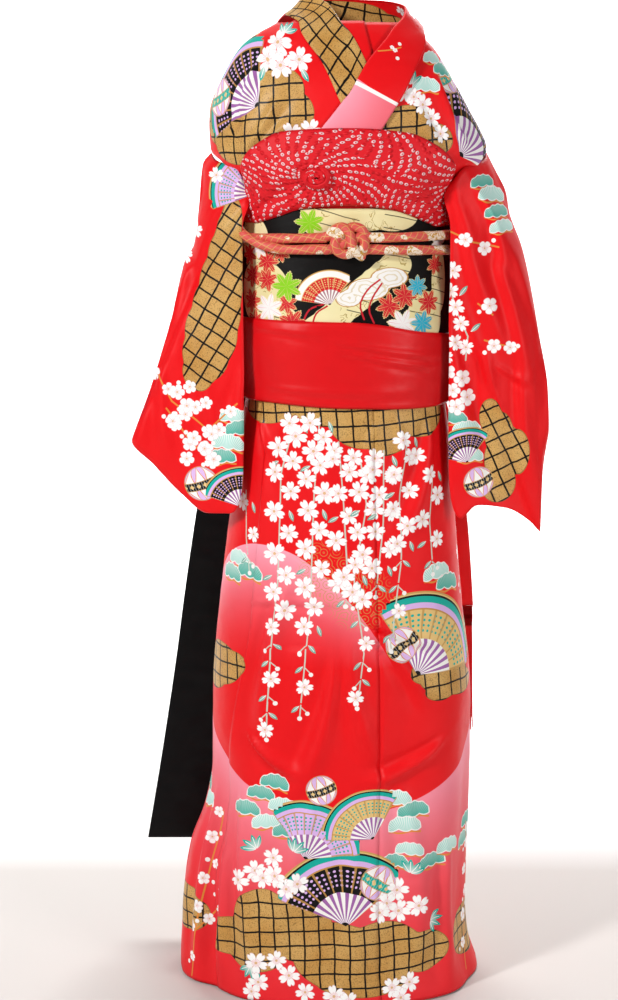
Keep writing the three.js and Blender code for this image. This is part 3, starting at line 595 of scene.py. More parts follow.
def back_design():
    """Backs, measured from the middle of the back along the cloth, to the wearer's right."""
    d = Design(23)
    d.cloud((-60, -400, 60, 30), (10, -396, 50, 24), (-110, -420, 46, 24), (120, -430, 44, 22))
    d.cloud((-60, -960, 70, 36), (0, -985, 80, 36), (70, -965, 60, 34), (150, -985, 60, 28),
            (-140, -985, 50, 26))
    d.cloud((-150, -668, 40, 24), (130, -690, 44, 26), (170, -676, 34, 20))
    d.cloud((-50, -60, 50, 30), (0, -80, 44, 26), (40, -66, 34, 20))
    d.hills = [(130, -560, 90, 90, 0), (-40, -540, 120, 105, 0), (0, -826, 137, -45, 1)]
    d.garland([(-110, -400), (-100, -500), (-112, -600), (-104, -700)], 0.66, 12, 1.2)
    d.garland([(-66, -420), (-60, -520), (-70, -640), (-62, -760)], 0.62, 12, 1.2)
    d.garland([(-20, -416), (-28, -500), (-18, -600)], 0.8, 12, 1.2)
    d.garland([(30, -410), (36, -520), (26, -640), (34, -720)], 0.66, 12, 1.2)
    d.garland([(76, -430), (70, -520), (80, -620)], 0.75, 11.5, 1.2)
    d.garland([(128, -450), (134, -540), (124, -650)], 0.7, 11.5, 1.1)
    d.pines([(-130, -790, 0.9), (-112, -806, 0.15), (-140, -816, 0.6), (110, -800, 0.9),
             (132, -812, 0.15)], 18)
    d.pines([(96, -822, 0.5), (-30, -830, 0.9), (-10, -842, 0.2), (20, -826, 0.8)], 18)
    d.fan(0, -930, -12, 60, 0.0)
    d.fan(-70, -900, 26, 46, 0.7)
    d.fan(76, -896, -30, 46, 0.35)
    d.ball(-34, -864, 20, 20, 0.0)
    d.ball(44, -862, -30, 22, 0.5)
    d.fan(-60, 2, 24, 50, 0.0)
    d.fan(66, -6, -28, 48, 0.35)
    d.ball(0, -28, 10, 22, 0.4)
    d.pines([(-100, -60, 0.9), (-116, -76, 0.2), (96, -60, 0.8), (112, -74, 0.15)], 16)
    d.blossoms([(-30, -16), (-16, -2), (22, -4), (36, -18), (-44, -110), (60, -104), (76, -116)], 12)
    d.blossoms([(-96, -930), (-84, -944), (-110, -946), (100, -930), (88, -944), (114, -946)], 12)
    d.blossoms([(-40, -1024), (-20, -1030), (30, -1024), (52, -1032), (-110, -1026), (120, -1026)], 12)
    d.spray(-104, -918, 120)
    d.spray(108, -918, 60)
    d.twig([(-180, -1030), (-168, -940), (-184, -860)], 6, 7)
    d.twig([(186, -1030), (176, -930), (190, -850)], 6, 7)
    return d


FRONT_DESIGN = front_design()
BACK_DESIGN = back_design()


def half_round(turn, z):
    return float(across_at(np.array(turn), np.array(float(z))))


def from_back(design_front):
    """Front motifs as the back's cloth measures them, so that a motif runs on across a side seam."""
    return design_front.moved(lambda x, z: x - half_round(180.0 if x > 0 else -180.0, z))


# ---------------------------------------------------------------- print fields on a piece
LATTICE_TURN = 3
NO_HILL = -400.0       # as far below a hill's edge as a place with no hill counts


def print_on(mesh, design, lattice_turn=LATTICE_TURN, slots=(3, 5, 2)):
    """Lays a design on a piece: motifs, stems, clouds, hills and the lattice's threads."""
    large, small, stems = slots
    lay(mesh, "large", large, design.large)
    lay(mesh, "small", small, design.small)
    lay_lines(mesh, stems, design.stems)
    x, z = corner_spots(mesh).T / MM
    set_attribute(mesh, "cloud", "CORNER", lobes_distance(design.clouds, x, z) * MM)
    set_attribute(mesh, "scroll", "CORNER", lobes_distance(design.scrolls, x, z) * MM)
    hills = np.full((len(x), 3), NO_HILL)
    for top_x, top_z, half, drop, row in design.hills:
        edge = top_z - drop * ((x - top_x) / half) ** 2
        if not drop:
            edge = np.where(np.abs(x - top_x) < half, edge, NO_HILL)
        hills[:, row] = np.maximum(hills[:, row], edge - z)
    set_attribute(mesh, "hills", "CORNER", hills * MM)
    turn = math.radians(lattice_turn)
    threads = np.stack([
        x * math.cos(turn) + z * math.sin(turn) + 0.9 * np.sin(z / 21) + 0.3 * np.sin(z / 7.3 + 1),
        z * math.cos(turn) - x * math.sin(turn) + 0.9 * np.sin(x / 23) + 0.3 * np.sin(x / 6.1 + 2),
        np.zeros(x.shape),
    ], -1)
    set_attribute(mesh, "threads", "CORNER", threads * MM)


# ---------------------------------------------------------------- shader maths
def math_method(operation, swapped=False):
    """A method of Wire that adds one Math node, with its two values the other way round if swapped."""
    def method(self, *other):
        values = (*other, self) if swapped else (self, *other)
        return self.loom.math(operation, *values)
    return method


class Wire:
    """A shader value. Arithmetic on it adds Math nodes."""

    def __init__(self, loom, socket):
        self.loom, self.socket = loom, socket

    __add__ = __radd__ = math_method("ADD")
    __sub__ = math_method("SUBTRACT")
    __rsub__ = math_method("SUBTRACT", swapped=True)
    __mul__ = __rmul__ = math_method("MULTIPLY")
    __truediv__ = math_method("DIVIDE")
    __rtruediv__ = math_method("DIVIDE", swapped=True)
    __pow__ = math_method("POWER")
    __lt__ = math_method("LESS_THAN")
    __gt__ = math_method("GREATER_THAN")
    __abs__ = math_method("ABSOLUTE")
    most = math_method("MAXIMUM")
    least = math_method("MINIMUM")
    sin = math_method("SINE")
    cos = math_method("COSINE")
    root = math_method("SQRT")
    part = math_method("FRACT")

    def clamp(self):
        return self.loom.math("MULTIPLY", self, 1.0, clamp=True)

    def between(self, low, high):
        return (self > low) * (self < high)

    def inside(self, soft):
        """1 where this distance is below 0, 0 above it, with an edge `soft` wide."""
        return self.loom.math("MULTIPLY_ADD", self, -1 / soft, 0.5, clamp=True)

    def above(self, soft):
        """1 where this is above 0, 0 below it, with an edge `soft` wide."""
        return self.loom.math("MULTIPLY_ADD", self, 1 / soft, 0.5, clamp=True)

    def to_line(self, pitch):
        """Distance to the nearest of the lines that lie `pitch` apart."""
        return self.loom.math("PINGPONG", self, pitch / 2)


def dye(code):
    """Linear colour of an #rrggbb code."""
    channel = [int(code[i:i + 2], 16) / 255 for i in (1, 3, 5)]
    return tuple(c / 12.92 if c <= 0.04045 else ((c + 0.055) / 1.055) ** 2.4 for c in channel) + (1.0,)


class Loom:
    """One material and its node tree."""

    def __init__(self, name, roughness=0.5, **constants):
        self.material = bpy.data.materials.new(name)
        self.material.use_nodes = True
        self.tree = self.material.node_tree
        self.tree.nodes.clear()
        output = self.tree.nodes.new("ShaderNodeOutputMaterial")
        self.surface = self.tree.nodes.new("ShaderNodeBsdfPrincipled")
        self.tree.links.new(self.surface.outputs[0], output.inputs["Surface"])
        self.surface.inputs["Roughness"].default_value = roughness
        for key, value in constants.items():
            self.surface.inputs[key.replace("_", " ")].default_value = value

    def node(self, kind, settings=None, values=None):
        made = self.tree.nodes.new(kind)
        for key, value in (settings or {}).items():
            if key == "stops":
                ramp = made.color_ramp
                while len(ramp.elements) < len(value):
                    ramp.elements.new(1.0)
                for element, (place, colour) in zip(ramp.elements, value):
                    element.position = place
                    element.color = colour
            elif key == "interpolation":
                made.color_ramp.interpolation = value
            else:
                setattr(made, key, value)
        for key, value in (values or {}).items():
            self.put(made.inputs[key], value)
        return made

    def put(self, socket, value):
        if isinstance(value, Wire):
            self.tree.links.new(value.socket, socket)
        else:
            socket.default_value = value

    def math(self, operation, *values, clamp=False):
        settings = {"operation": operation, "use_clamp": clamp}
        made = self.node("ShaderNodeMath", settings, dict(enumerate(values)))
        return Wire(self, made.outputs[0])

    def blend(self, mask, under, over):
        made = self.node("ShaderNodeMix", {"data_type": "RGBA"}, {0: mask, 6: under, 7: over})
        return Wire(self, made.outputs[2])

    def multiply(self, colour, shade):
        made = self.node("ShaderNodeMix", {"data_type": "RGBA", "blend_type": "MULTIPLY"},
                         {0: 1.0, 6: colour, 7: shade})
        return Wire(self, made.outputs[2])

    def ramp(self, value, stops, interpolation="LINEAR"):
        made = self.node("ShaderNodeValToRGB", {"stops": stops, "interpolation": interpolation}, {0: value})
        return Wire(self, made.outputs[0])

    def parts(self, vector):
        made = self.node("ShaderNodeSeparateXYZ", None, {0: vector})
        return [Wire(self, socket) for socket in made.outputs]

    def attribute(self, name):
        made = self.node("ShaderNodeAttribute", {"attribute_name": name})
        return made

    def number(self, name):
        return Wire(self, self.attribute(name).outputs["Fac"])

    def triple(self, name):
        return self.parts(Wire(self, self.attribute(name).outputs["Vector"]))

    def spot(self):
        """Place on the cloth, in metres."""
        made = self.node("ShaderNodeUVMap", {"uv_map": "cloth"})
        x, z, _ = self.parts(Wire(self, made.outputs[0]))
        return x, z

    def place(self):
        made = self.node("ShaderNodeTexCoord")
        return Wire(self, made.outputs["Object"])

    def noise(self, scale, detail=2.0):
        values = {"Scale": scale, "Detail": detail, "Roughness": 0.5, "Vector": self.place()}
        made = self.node("ShaderNodeTexNoise", None, values)
        return Wire(self, made.outputs["Fac"])

    def bump(self, height, distance, strength=1.0, normal=None):
        values = {"Height": height, "Distance": distance, "Strength": strength}
        if normal:
            values["Normal"] = normal
        made = self.node("ShaderNodeBump", None, values)
        return Wire(self, made.outputs[0])

    def finish(self, colour, roughness=None, normal=None):
        self.put(self.surface.inputs["Base Color"], colour)
        for name, value in (("Roughness", roughness), ("Normal", normal)):
            if value is not None:
                self.put(self.surface.inputs[name], value)
        return self.material


# ---------------------------------------------------------------- dyes
RED = dye("#ea0912")
PINK = dye("#ffb0c4")
GOLD = dye("#c4924c")
GOLD_PALE = dye("#e3c07c")
GOLD_DARK = dye("#5f3d17")
INK = dye("#070606")
WHITE = dye("#f7f4f0")
BLUSH = dye("#f2b8bd")
TEAL = dye("#0aab9b")
LILAC = dye("#dcb4ea")
LEAF_PALE = dye("#dfe9e2")
STEM = dye("#c9cfc0")
AMBER = dye("#e08a3a")
CREAM = dye("#f2e8b6")
LIME = dye("#8bd01e")
SKY = dye("#2cb2cf")
SASH = dye("#df0f16")
EDGE = 0.00035         # metres over which a printed edge softens
LATTICE_PITCH, LATTICE_HALF = 0.0165, 0.00102    # metres; half is half a line's width
OBI_LINE_PITCH, OBI_LINE_HALF = 0.0135, 0.0005


def local(spot, at, facts):
    """Coordinates within a motif, whose size is 1."""
    x, z = spot
    middle_x, middle_z, turn = at
    size, kind, tint = facts
    off_x, off_z = x - middle_x, z - middle_z
    c, s = turn.cos(), turn.sin()
    return (off_x * c + off_z * s) / size, (off_z * c - off_x * s) / size, size, kind, tint


def petals(angle, count):
    """0 along a petal's middle, 1 between two petals."""
    return abs((angle * (count / (2 * math.pi)) + 10).part() - 0.5) * 2


def small_motif(loom, spot, slot, kinds, under):
    """Paints one slot of small motifs: blossoms, leaves, buds and maple leaves."""
    at, looks = loom.triple(f"small_at_{slot}"), loom.triple(f"small_is_{slot}")
    x, z, size, kind, tint = local(spot, at, looks)
    radius = (x * x + z * z).root()
    angle = loom.math("ARCTAN2", z, x)
    soft = EDGE / size

    def cover(distance):
        return (0.5 - distance / soft).clamp()

    def is_kind(number):
        return kind.between(number - 0.5, number + 0.5)

    colour = under
    if LEAF in kinds:
        blade = abs(z) - (1 - x * x) * 0.36
        shade = loom.ramp((x + 1) * 0.5, [(0.0, LEAF_PALE), (0.75, TEAL), (1.0, TEAL)])
        dull = loom.blend(tint * 0.55, shade, dye("#8fae9e"))
        veined = loom.blend((abs(z) < 0.05) * (x < 0.6), dull, WHITE)
        colour = loom.blend(cover(blade) * is_kind(LEAF), colour, veined)
    if BUD in kinds:
        colour = loom.blend(cover(radius - 1) * is_kind(BUD), colour, WHITE)
    if MAPLE in kinds:
        lobe = petals(angle, 7)
        edge = 1 - lobe ** 1.3 * 0.48 + (lobe * 24).sin() * 0.03
        body = loom.ramp(tint, [(0.0, dye("#d3232f")), (0.45, WHITE), (0.65, LIME), (0.82, SKY)], "CONSTANT")
        vein = (lobe < 0.07) + ((lobe - 0.45).between(0, 0.05)) * (radius > 0.4)
        leafy = loom.blend((vein * 0.8).clamp(), body, loom.blend(tint.between(0.4, 0.64), GOLD_PALE, BLUSH))
        rim = loom.blend((edge - radius < 0.06) * 0.85, leafy, dye("#f0dc98"))
        colour = loom.blend(cover(radius - edge) * is_kind(MAPLE), colour, rim)
    if CHERRY in kinds:
        lobe = petals(angle, 5)
        cherry = 1 - lobe ** 3.2 * 0.66 - (1 - lobe * 5).clamp() * 0.17
        plum = 1 - lobe ** 3.2 * 0.34
        edge = loom.math("MULTIPLY_ADD", is_kind(PLUM), plum - cherry, cherry)
        heart = loom.blend((1 - radius / 0.5).clamp() * 0.4, dye("#fffdfb"), BLUSH)
        seams = (lobe > 0.86) * (radius > 0.14) * (radius < edge - 0.06)
        lined = loom.blend(seams * 0.55, heart, BLUSH)
        lined = loom.blend((edge - radius < 0.07) * 0.6, lined, dye("#e2bcbf"))
        threads = ((angle * 15).sin() > 0.2) * radius.between(0.16, 0.36)
        dusted = loom.blend(threads * 0.45, lined, dye("#d98a93"))
        middle = loom.blend((radius < 0.13) * 0.8, dusted, dye("#d9a35a"))
        bloom = (kind < BUD - 1.5) + is_kind(PLUM)
        colour = loom.blend(cover(radius - edge) * bloom, colour, middle)
    return colour


def pine_pad(loom, x, z, tint, cover, on, under):
    dome = (1 - x * x).most(0.0).root() * 0.66 + (x * 13).sin() * 0.035
    rays = loom.math("ARCTAN2", x, z + 0.75)
    foot = abs((x * 4.5).cos()) * 0.12 + 0.2
    shape = (z - dome).most(0 - z - foot).most(abs(x) - 1)
    high = (z * 1.3 + 0.45).clamp()
    toward = loom.blend(high * (0.9 - tint * 0.7), loom.blend(0.08, TEAL, WHITE), WHITE)
    pale = loom.blend((tint < 0.4) * 0.7, toward, dye("#eef7f4"))
    needles = loom.blend((rays * 62).sin() * 0.5 + 0.5, pale, loom.multiply(pale, dye("#b4eae0")))
    rim = loom.blend((shape > -0.07) * 0.9, needles, WHITE)
    twig = abs(z + 0.36 - (x * 5).sin() * 0.07) - 0.055
    under = loom.blend(cover(twig.most(abs(x) - 0.95)) * on, under, AMBER)
    return loom.blend(cover(shape) * on, under, rim)


SILK_FAN = {"fields": [(0.0, INK), (0.2, LILAC), (0.55, GOLD_PALE)], "dots": (TEAL, LILAC), "rays": GOLD,
            "rims": [GOLD, LILAC, TEAL, INK, GOLD_PALE], "sticks": (LILAC, WHITE)}
OBI_FAN = {"fields": [(0.0, dye("#d5262d")), (0.5, WHITE)], "dots": (dye("#b9151e"), GOLD_PALE),
           "rays": GOLD_PALE, "rims": [GOLD_PALE, WHITE, WHITE, WHITE, GOLD_PALE],
           "sticks": (dye("#f2e2c0"), WHITE)}


def open_fan(loom, x, z, tint, cover, on, under, palette=SILK_FAN):
    up = z + 0.55
    radius = (x * x + up * up).root() / 1.5
    turn = loom.math("ARCTAN2", x, up)
    shape = (radius - 1).most(abs(turn) - 1.06)
    painted = loom.ramp(tint, palette["fields"], "CONSTANT")
    dots_x = (turn * 9).part() - 0.5
    dots_z = (radius * 16).part() - 0.5
    dots = (dots_x * dots_x + dots_z * dots_z).root()
    spotted = loom.blend((tint < 0.2), *palette["dots"])
    painted = loom.blend((dots < 0.26) * radius.between(0.5, 0.75), painted, spotted)
    painted = loom.blend(((turn * 26).sin() > 0.86) * 0.8, painted, palette["rays"])
    for edge, colour in zip((0.78, 0.80, 0.865, 0.94, 0.965), palette["rims"]):
        painted = loom.blend(radius > edge, painted, colour)
    thin, wide = palette["sticks"]
    slats = loom.blend((turn * 26).sin() > -0.1, loom.multiply(thin, dye("#b98fb5")), wide)
    painted = loom.blend(radius < 0.44, painted, slats)
    painted = loom.blend(radius < 0.05, painted, INK)
    edged = loom.blend((shape > -0.02) * 0.8, painted, GOLD)
    return loom.blend(cover(shape) * on, under, edged)


def thread_ball(loom, x, z, tint, cover, on, under):
    radius = (x * x + z * z).root()
    level = (1 - z * z).most(0.02).root()
    round_x = x / level
    belt = abs(z + (1 - round_x * round_x) * 0.12)
    petal = abs((round_x * 1.5 + 10).part() - 0.5) * 2
    caps = loom.blend((petal > abs(z) * 1.1), LILAC, WHITE)
    caps = loom.blend((petal - abs(z)).between(-0.12, 0.06), caps, AMBER)
    lozenge = abs((round_x * 2.5 + 10).part() - 0.5) + belt * 2.4
    band = loom.blend(lozenge < 0.34, loom.blend(tint > 0.3, INK, TEAL), GOLD_PALE)
    body = loom.blend(belt < 0.26, caps, GOLD)
    body = loom.blend(belt < 0.22, body, band)
    wound = loom.blend(((round_x * 40).sin() > 0.7) * 0.25, body, WHITE)
    edge = loom.blend((radius > 0.95) * 0.8, wound, GOLD)
    return loom.blend(cover(radius - 1) * on, under, edge)


def large_motif(loom, spot, slot, under, fan_palette=SILK_FAN):
    """Paints one slot of large motifs: pine pads, open fans and thread balls."""
    at, looks = loom.triple(f"large_at_{slot}"), loom.triple(f"large_is_{slot}")
    x, z, size, kind, tint = local(spot, at, looks)
    soft = EDGE / size

    def cover(distance):
        return (0.5 - distance / soft).clamp()

    colour = pine_pad(loom, x, z, tint, cover, kind < 0.5, under)
    colour = open_fan(loom, x, z, tint, cover, kind.between(0.5, 1.5), colour, fan_palette)
    return thread_ball(loom, x, z, tint, cover, kind > 1.5, colour)


def stems(loom, spot, slot, under):
    x, z = spot
    x0, z0, width = loom.triple(f"stem_from_{slot}")
    x1, z1, tint = loom.triple(f"stem_to_{slot}")
    along_x, along_z = x1 - x0, z1 - z0
    off_x, off_z = x - x0, z - z0
    share = (off_x * along_x + off_z * along_z) / (along_x * along_x + along_z * along_z)
    share = share.clamp()
    away_x = off_x - along_x * share
    away_z = off_z - along_z * share
    away = (away_x * away_x + away_z * away_z).root() - width
    colour = loom.ramp(tint, [(0.0, WHITE), (0.2, STEM), (0.5, AMBER), (0.9, dye("#c41f2c"))], "CONSTANT")
    return loom.blend(away.inside(EDGE), under, colour)


def gold_ground(loom):
    """Sandy gold leaf: pale and dark grains on a warm ground."""
    grain = loom.noise(900)
    drift = loom.noise(28)
    warm = loom.blend((drift * 1.8 - 0.6).clamp() * 0.6, GOLD, GOLD_PALE)
    return loom.blend(((grain - 0.52) * 7).clamp() * 0.6, warm, GOLD_DARK)


def printed_silk():
    """Red satin silk with its dyed and gold-printed design."""
    loom = Loom("printed_silk", 0.42, Specular_IOR_Level=0.22)
    spot = loom.spot()
    far_hill, near_hill, _ = loom.triple("hills")
    slub = loom.noise(60, 3.0)
    red = loom.blend(slub * 0.3, RED, dye("#d6080f"))
    far_fade = loom.math("EXPONENT", far_hill.most(0.0) * -19)
    near_fade = loom.math("EXPONENT", near_hill.most(0.0) * -13)
    high = ((spot[1] + 0.66) * 11).clamp()
    rose = loom.blend(far_hill.above(0.0006) * far_fade * high * 0.85, red, PINK)
    rose = loom.blend(near_hill.above(0.0006) * near_fade * 0.65, rose, PINK)
    curl = loom.node("ShaderNodeTexVoronoi", {"voronoi_dimensions": "2D"},
                     {"Vector": Wire(loom, loom.node("ShaderNodeUVMap", {"uv_map": "cloth"}).outputs[0]),
                      "Scale": 75.0, "Randomness": 0.9})
    rings = (Wire(loom, curl.outputs["Distance"]) * 26).sin() > 0.72
    scroll = loom.number("scroll").inside(0.012)
    colour = loom.blend(rings * scroll * 0.7, rose, GOLD)
    cloud = loom.number("cloud")
    thread_x, thread_z, _ = loom.triple("threads")
    wobble = loom.noise(140) * 0.0012 - 0.0006
    lines = ((thread_x + 3 + wobble).to_line(LATTICE_PITCH) - LATTICE_HALF).inside(EDGE)
    lines = lines.most(((thread_z + 3 + wobble).to_line(LATTICE_PITCH) - LATTICE_HALF).inside(EDGE))
    leafed = loom.blend(lines, gold_ground(loom), INK)
    rim = loom.blend((cloud > -0.0007) * 0.6, leafed, GOLD_DARK)
    on_cloud = cloud.inside(EDGE)
    colour = loom.blend(on_cloud, colour, rim)
    for slot in (2, 1, 0):
        colour = large_motif(loom, spot, slot, colour)
    for slot in (1, 0):
        colour = stems(loom, spot, slot, colour)
    for slot in (4, 3, 2, 1, 0):
        colour = small_motif(loom, spot, slot, (CHERRY, LEAF, BUD), colour)
    weave = loom.noise(1400, 1.0)
    wave = loom.noise(34, 2.0)
    fine = loom.bump(weave, 0.00012, 0.5)
    soft = loom.bump(wave, 0.0035, 0.35, fine)
    rough = 0.44 + slub * 0.1 - on_cloud * 0.06
    return loom.finish(colour, rough, soft)


def plain_cloth(name, colour, shade, roughness, weave=1300, wave=30, wave_depth=0.003, gloss=0.22):
    """Plain woven silk: a fine grain, slow changes of shade, and soft waves."""
    loom = Loom(name, roughness, Specular_IOR_Level=gloss)
    drift = loom.noise(45, 3.0)
    grain = loom.noise(weave, 1.0)
    toned = loom.blend(drift * 0.6, colour, shade)
    fine = loom.bump(grain, 0.00012, 0.5)
    soft = loom.bump(loom.noise(wave, 2.0), wave_depth, 0.4, fine)
    return loom.finish(toned, roughness - 0.05 + drift * 0.1, soft)


SILK = printed_silk()
LINING = plain_cloth("lining", dye("#f3e6e0"), dye("#e6cfc9"), 0.6)
SLEEVE_LINING = plain_cloth("sleeve_lining", dye("#d8101f"), dye("#b90c19"), 0.6)
SATIN = plain_cloth("obi_satin", dye("#030304"), dye("#08080a"), 0.4, gloss=0.15)
SASH_SILK = plain_cloth("sash_silk", SASH, dye("#c60a10"), 0.4, wave_depth=0.004)


def obi_brocade():
    """Black figured brocade: cream bands with gold scrolls, maple leaves, a fan and cords."""
    loom = Loom("obi_brocade", 0.5, Specular_IOR_Level=0.12)
    spot = loom.spot()
    ribs = (spot[1] * 5200).sin()
    ground = loom.blend(ribs * 0.1 + 0.1, INK, dye("#1e1812"))
    curl = loom.noise(95, 1.5)
    squiggle = abs(curl - 0.5).between(0.0, 0.018) + abs(curl - 0.62).between(0.0, 0.012)
    patch = loom.noise(38, 1.0) > 0.56
    cream = loom.blend((loom.noise(20, 2.0) * 2 - 0.7).clamp() * 0.7, CREAM, dye("#dcc67c"))
    cream = loom.blend((squiggle * patch).clamp() * 0.8, cream, dye("#a98f45"))
    line_z = loom.triple("threads")[1]
    lines = ((line_z + 3).to_line(OBI_LINE_PITCH) - OBI_LINE_HALF).inside(EDGE) * (loom.noise(22, 1.0) > 0.47)
    cream = loom.blend(lines * 0.9, cream, INK)
    colour = loom.blend(loom.number("cloud").inside(EDGE), ground, cream)
    plume = loom.number("scroll")
    feather = (plume * 1500 + loom.noise(70, 1.0) * 14).sin() > 0.72
    white = loom.blend(feather * 0.5, WHITE, dye("#cfb46a"))
    white = loom.blend(plume > -0.0008, white, GOLD)
    colour = loom.blend(plume.inside(EDGE), colour, white)
    colour = large_motif(loom, spot, 0, colour, OBI_FAN)
    for slot in (1, 0):
        colour = stems(loom, spot, slot, colour)
    for slot in (3, 2, 1, 0):
        colour = small_motif(loom, spot, slot, (MAPLE,), colour)
    weave = loom.bump(ribs * 0.5 + loom.noise(1200, 1.0), 0.00025, 0.7)
    soft = loom.bump(loom.noise(30, 2.0), 0.002, 0.3, weave)
    return loom.finish(colour, 0.46, soft)


SHIBORI_CENTRES = [(-31, -128), (70, -205), (-78, -205), (18, -62), (112, -120), (-112, -110), (160, -205),
                   (-160, -205)]


def shibori():
    """Tie-dyed silk: rows of small white rings that fan out from several places."""
    loom = Loom("tie_dyed_silk", 0.6, Specular_IOR_Level=0.3)
    x, z = loom.spot()
    best_x = best_z = None
    for centre_x, centre_z in SHIBORI_CENTRES:
        off_x = x - centre_x * MM
        off_z = z - centre_z * MM
        if best_x is None:
            best_x, best_z = off_x, off_z
            best = off_x * off_x + off_z * off_z
            continue
        reach = off_x * off_x + off_z * off_z
        nearer = reach < best
        best_x = loom.math("MULTIPLY_ADD", nearer, off_x - best_x, best_x)
        best_z = loom.math("MULTIPLY_ADD", nearer, off_z - best_z, best_z)
        best = best.least(reach)
    radius = best.root()
    swirl = loom.math("ARCTAN2", best_z, best_x) + radius * 9
    rows = (radius > 0.026) * 12 + (radius > 0.05) * 18 + 20
    row = swirl * rows / (2 * math.pi) + 90
    aside = (row.part() - 0.5) * radius * (2 * math.pi) / rows
    along = radius * 210 + loom.math("SINE", loom.math("FLOOR", row) * 12.9) * 0.8 + 5
    step = (along.part() - 0.5) * (1 / 210)
    ring = ((aside * aside) * 400000 + (step * step) * 330000).root()
    shown = radius.between(0.008, 0.09)
    dye_gaps = loom.noise(75, 1.0) > 0.46
    resist = abs(ring - 0.66).between(0.0, 0.3) * shown * dye_gaps
    ground = loom.blend(loom.noise(50, 3.0) * 0.7, dye("#e30d1e"), dye("#c80a17"))
    halo = (ring < 1.3) * shown * dye_gaps * 0.12
    pale = loom.blend(halo, ground, dye("#ee6a78"))
    colour = loom.blend(resist * 0.85, pale, dye("#fbe0e2"))
    bumps = (1.3 - ring).clamp() * shown
    crimp = loom.bump(bumps, 0.0016, 0.9)
    soft = loom.bump(loom.noise(260, 3.0), 0.0006, 0.6, crimp)
    return loom.finish(colour, 0.6, soft)


def cord_brocade():
    """Coral brocade round padding, with gold lines and white flowered patches."""
    loom = Loom("cord_brocade", 0.48, Specular_IOR_Level=0.3)
    along, around = loom.spot()
    ground = loom.blend(loom.noise(120, 2.0), dye("#cc3a33"), dye("#e06a60"))
    lines = ((along * 1.0 + around * 0.7 + 2).to_line(0.0075) - 0.00045).inside(EDGE)
    across = ((around - along * 0.25 + 2).to_line(0.0088) - 0.00035).inside(EDGE)
    colour = loom.blend(lines.most(across) * 0.75, ground, dye("#dcb866"))
    patch = loom.noise(48, 0.5) > 0.53
    petals_at = loom.noise(210, 1.0)
    cream = loom.blend(petals_at.between(0.46, 0.54), dye("#f3e7d2"), dye("#c99a3c"))
    colour = loom.blend(patch * 0.92, colour, cream)
    weave = loom.bump(loom.noise(1500, 1.0) + lines * 0.8, 0.0003, 0.8)
    return loom.finish(colour, 0.46, loom.bump(loom.noise(90, 2.0), 0.002, 0.5, weave))


SHIBORI = shibori()
BROCADE = obi_brocade()
CORD_CLOTH = cord_brocade()


# ---------------------------------------------------------------- body panels
FRONT_CREASES = [
    # across, z, to across, to z, height, width, bow
    (-100, -384, -84, -428, 2.6, 5, 0),
    (-60, -380, -66, -470, 1.6, 8, 5),
    (-14, -380, -20, -450, 1.4, 7, -4),
    (34, -382, 26, -456, 1.8, 7, 5),
    (52, -382, 58, -450, 1.6, 6, -4),
    (92, -386, 60, -520, 2.4, 10, -10),
    (-112, -592, -6, -588, 1.7, 4, -3),
    (-60, -560, -90, -760, 3.4, 14, 10),
    (18, -600, 104, -640, 2.7, 6, 5),
    (12, -612, 92, -706, 3.0, 7, -8),
    (4, -622, 34, -770, 3.3, 11, 8),
    (-10, -640, -52, -800, 3.5, 12, -8),
    (-112, -735, -50, -782, 2.8, 7, 5),
    (112, -745, 20, -790, 3.0, 8, -6),
    (-30, -800, -70, -960, 2.6, 16, 8),
    (60, -790, 84, -1000, 3.0, 16, -8),
    (10, -850, 18, -1030, 2.4, 14, 6),
    (-116, -800, -98, -1036, 3.0, 12, 6),
    (-140, -860, -152, -1036, 3.6, 10, -4),
    (-170, -820, -186, -1036, 3.4, 10, 5),
    (120, -860, 128, -1036, 2.6, 12, 5),
    # the chest: gathers towards the armpits, and the pull to the collar
    (-128, -120, -66, -40, 2.6, 5, 5),
    (-116, -128, -50, -66, 2.4, 5, -4),
    (-104, -132, -56, -96, 2.2, 4, 3),
    (-142, -98, -96, -6, 2.6, 6, 6),
    (-96, -10, -60, 20, 1.6, 6, 3),
    (122, -122, 74, -56, 2.6, 5, -5),
    (112, -130, 60, -98, 2.2, 4, 3),
    (136, -100, 96, -20, 2.6, 6, -5),
]
BACK_CREASES = [
    (-90, -390, -40, -520, 2.4, 12, 8),
    (-30, -388, -50, -500, 2.0, 9, -5),
    (24, -388, 50, -500, 2.0, 9, 5),
    (80, -392, 20, -540, 2.2, 12, -8),
    (-60, -560, -80, -780, 2.8, 16, 10),
    (10, -600, 40, -800, 2.6, 15, -8),
    (96, -600, 80, -800, 2.4, 14, 8),
    (-110, -760, -130, -1036, 3.2, 14, -6),
    (-20, -820, -30, -1036, 2.6, 14, 6),
    (60, -800, 70, -1036, 3.0, 15, -6),
    (130, -800, 150, -1036, 3.2, 14, 6),
    (-128, -118, -80, -30, 2.6, 6, -5),
    (-100, -128, -40, -70, 2.2, 6, 4),
    (128, -118, 80, -30, 2.6, 6, 5),
    (100, -128, 40, -70, 2.2, 6, -4),
]
FREE_EDGE = columns(FREE_EDGE_ROWS)[0]


def turn_for(distance, angle, z):
    length = np.linalg.norm(body_section(angle + 1, z) - body_section(angle - 1, z), axis=-1)
    return 2 * distance / length


def over_out(angle):
    """The upper front lies on the under one, and comes in to the side seam at the back's depth."""
    return OVERLAP_OUT * (1 - ease(angle, 58, 88))


def armhole_reach(z):
    off = (z - ARMHOLE["middle"]) / ARMHOLE["half"]
    return ARMHOLE["reach"] * np.sqrt(np.maximum(1 - off * off, 0))


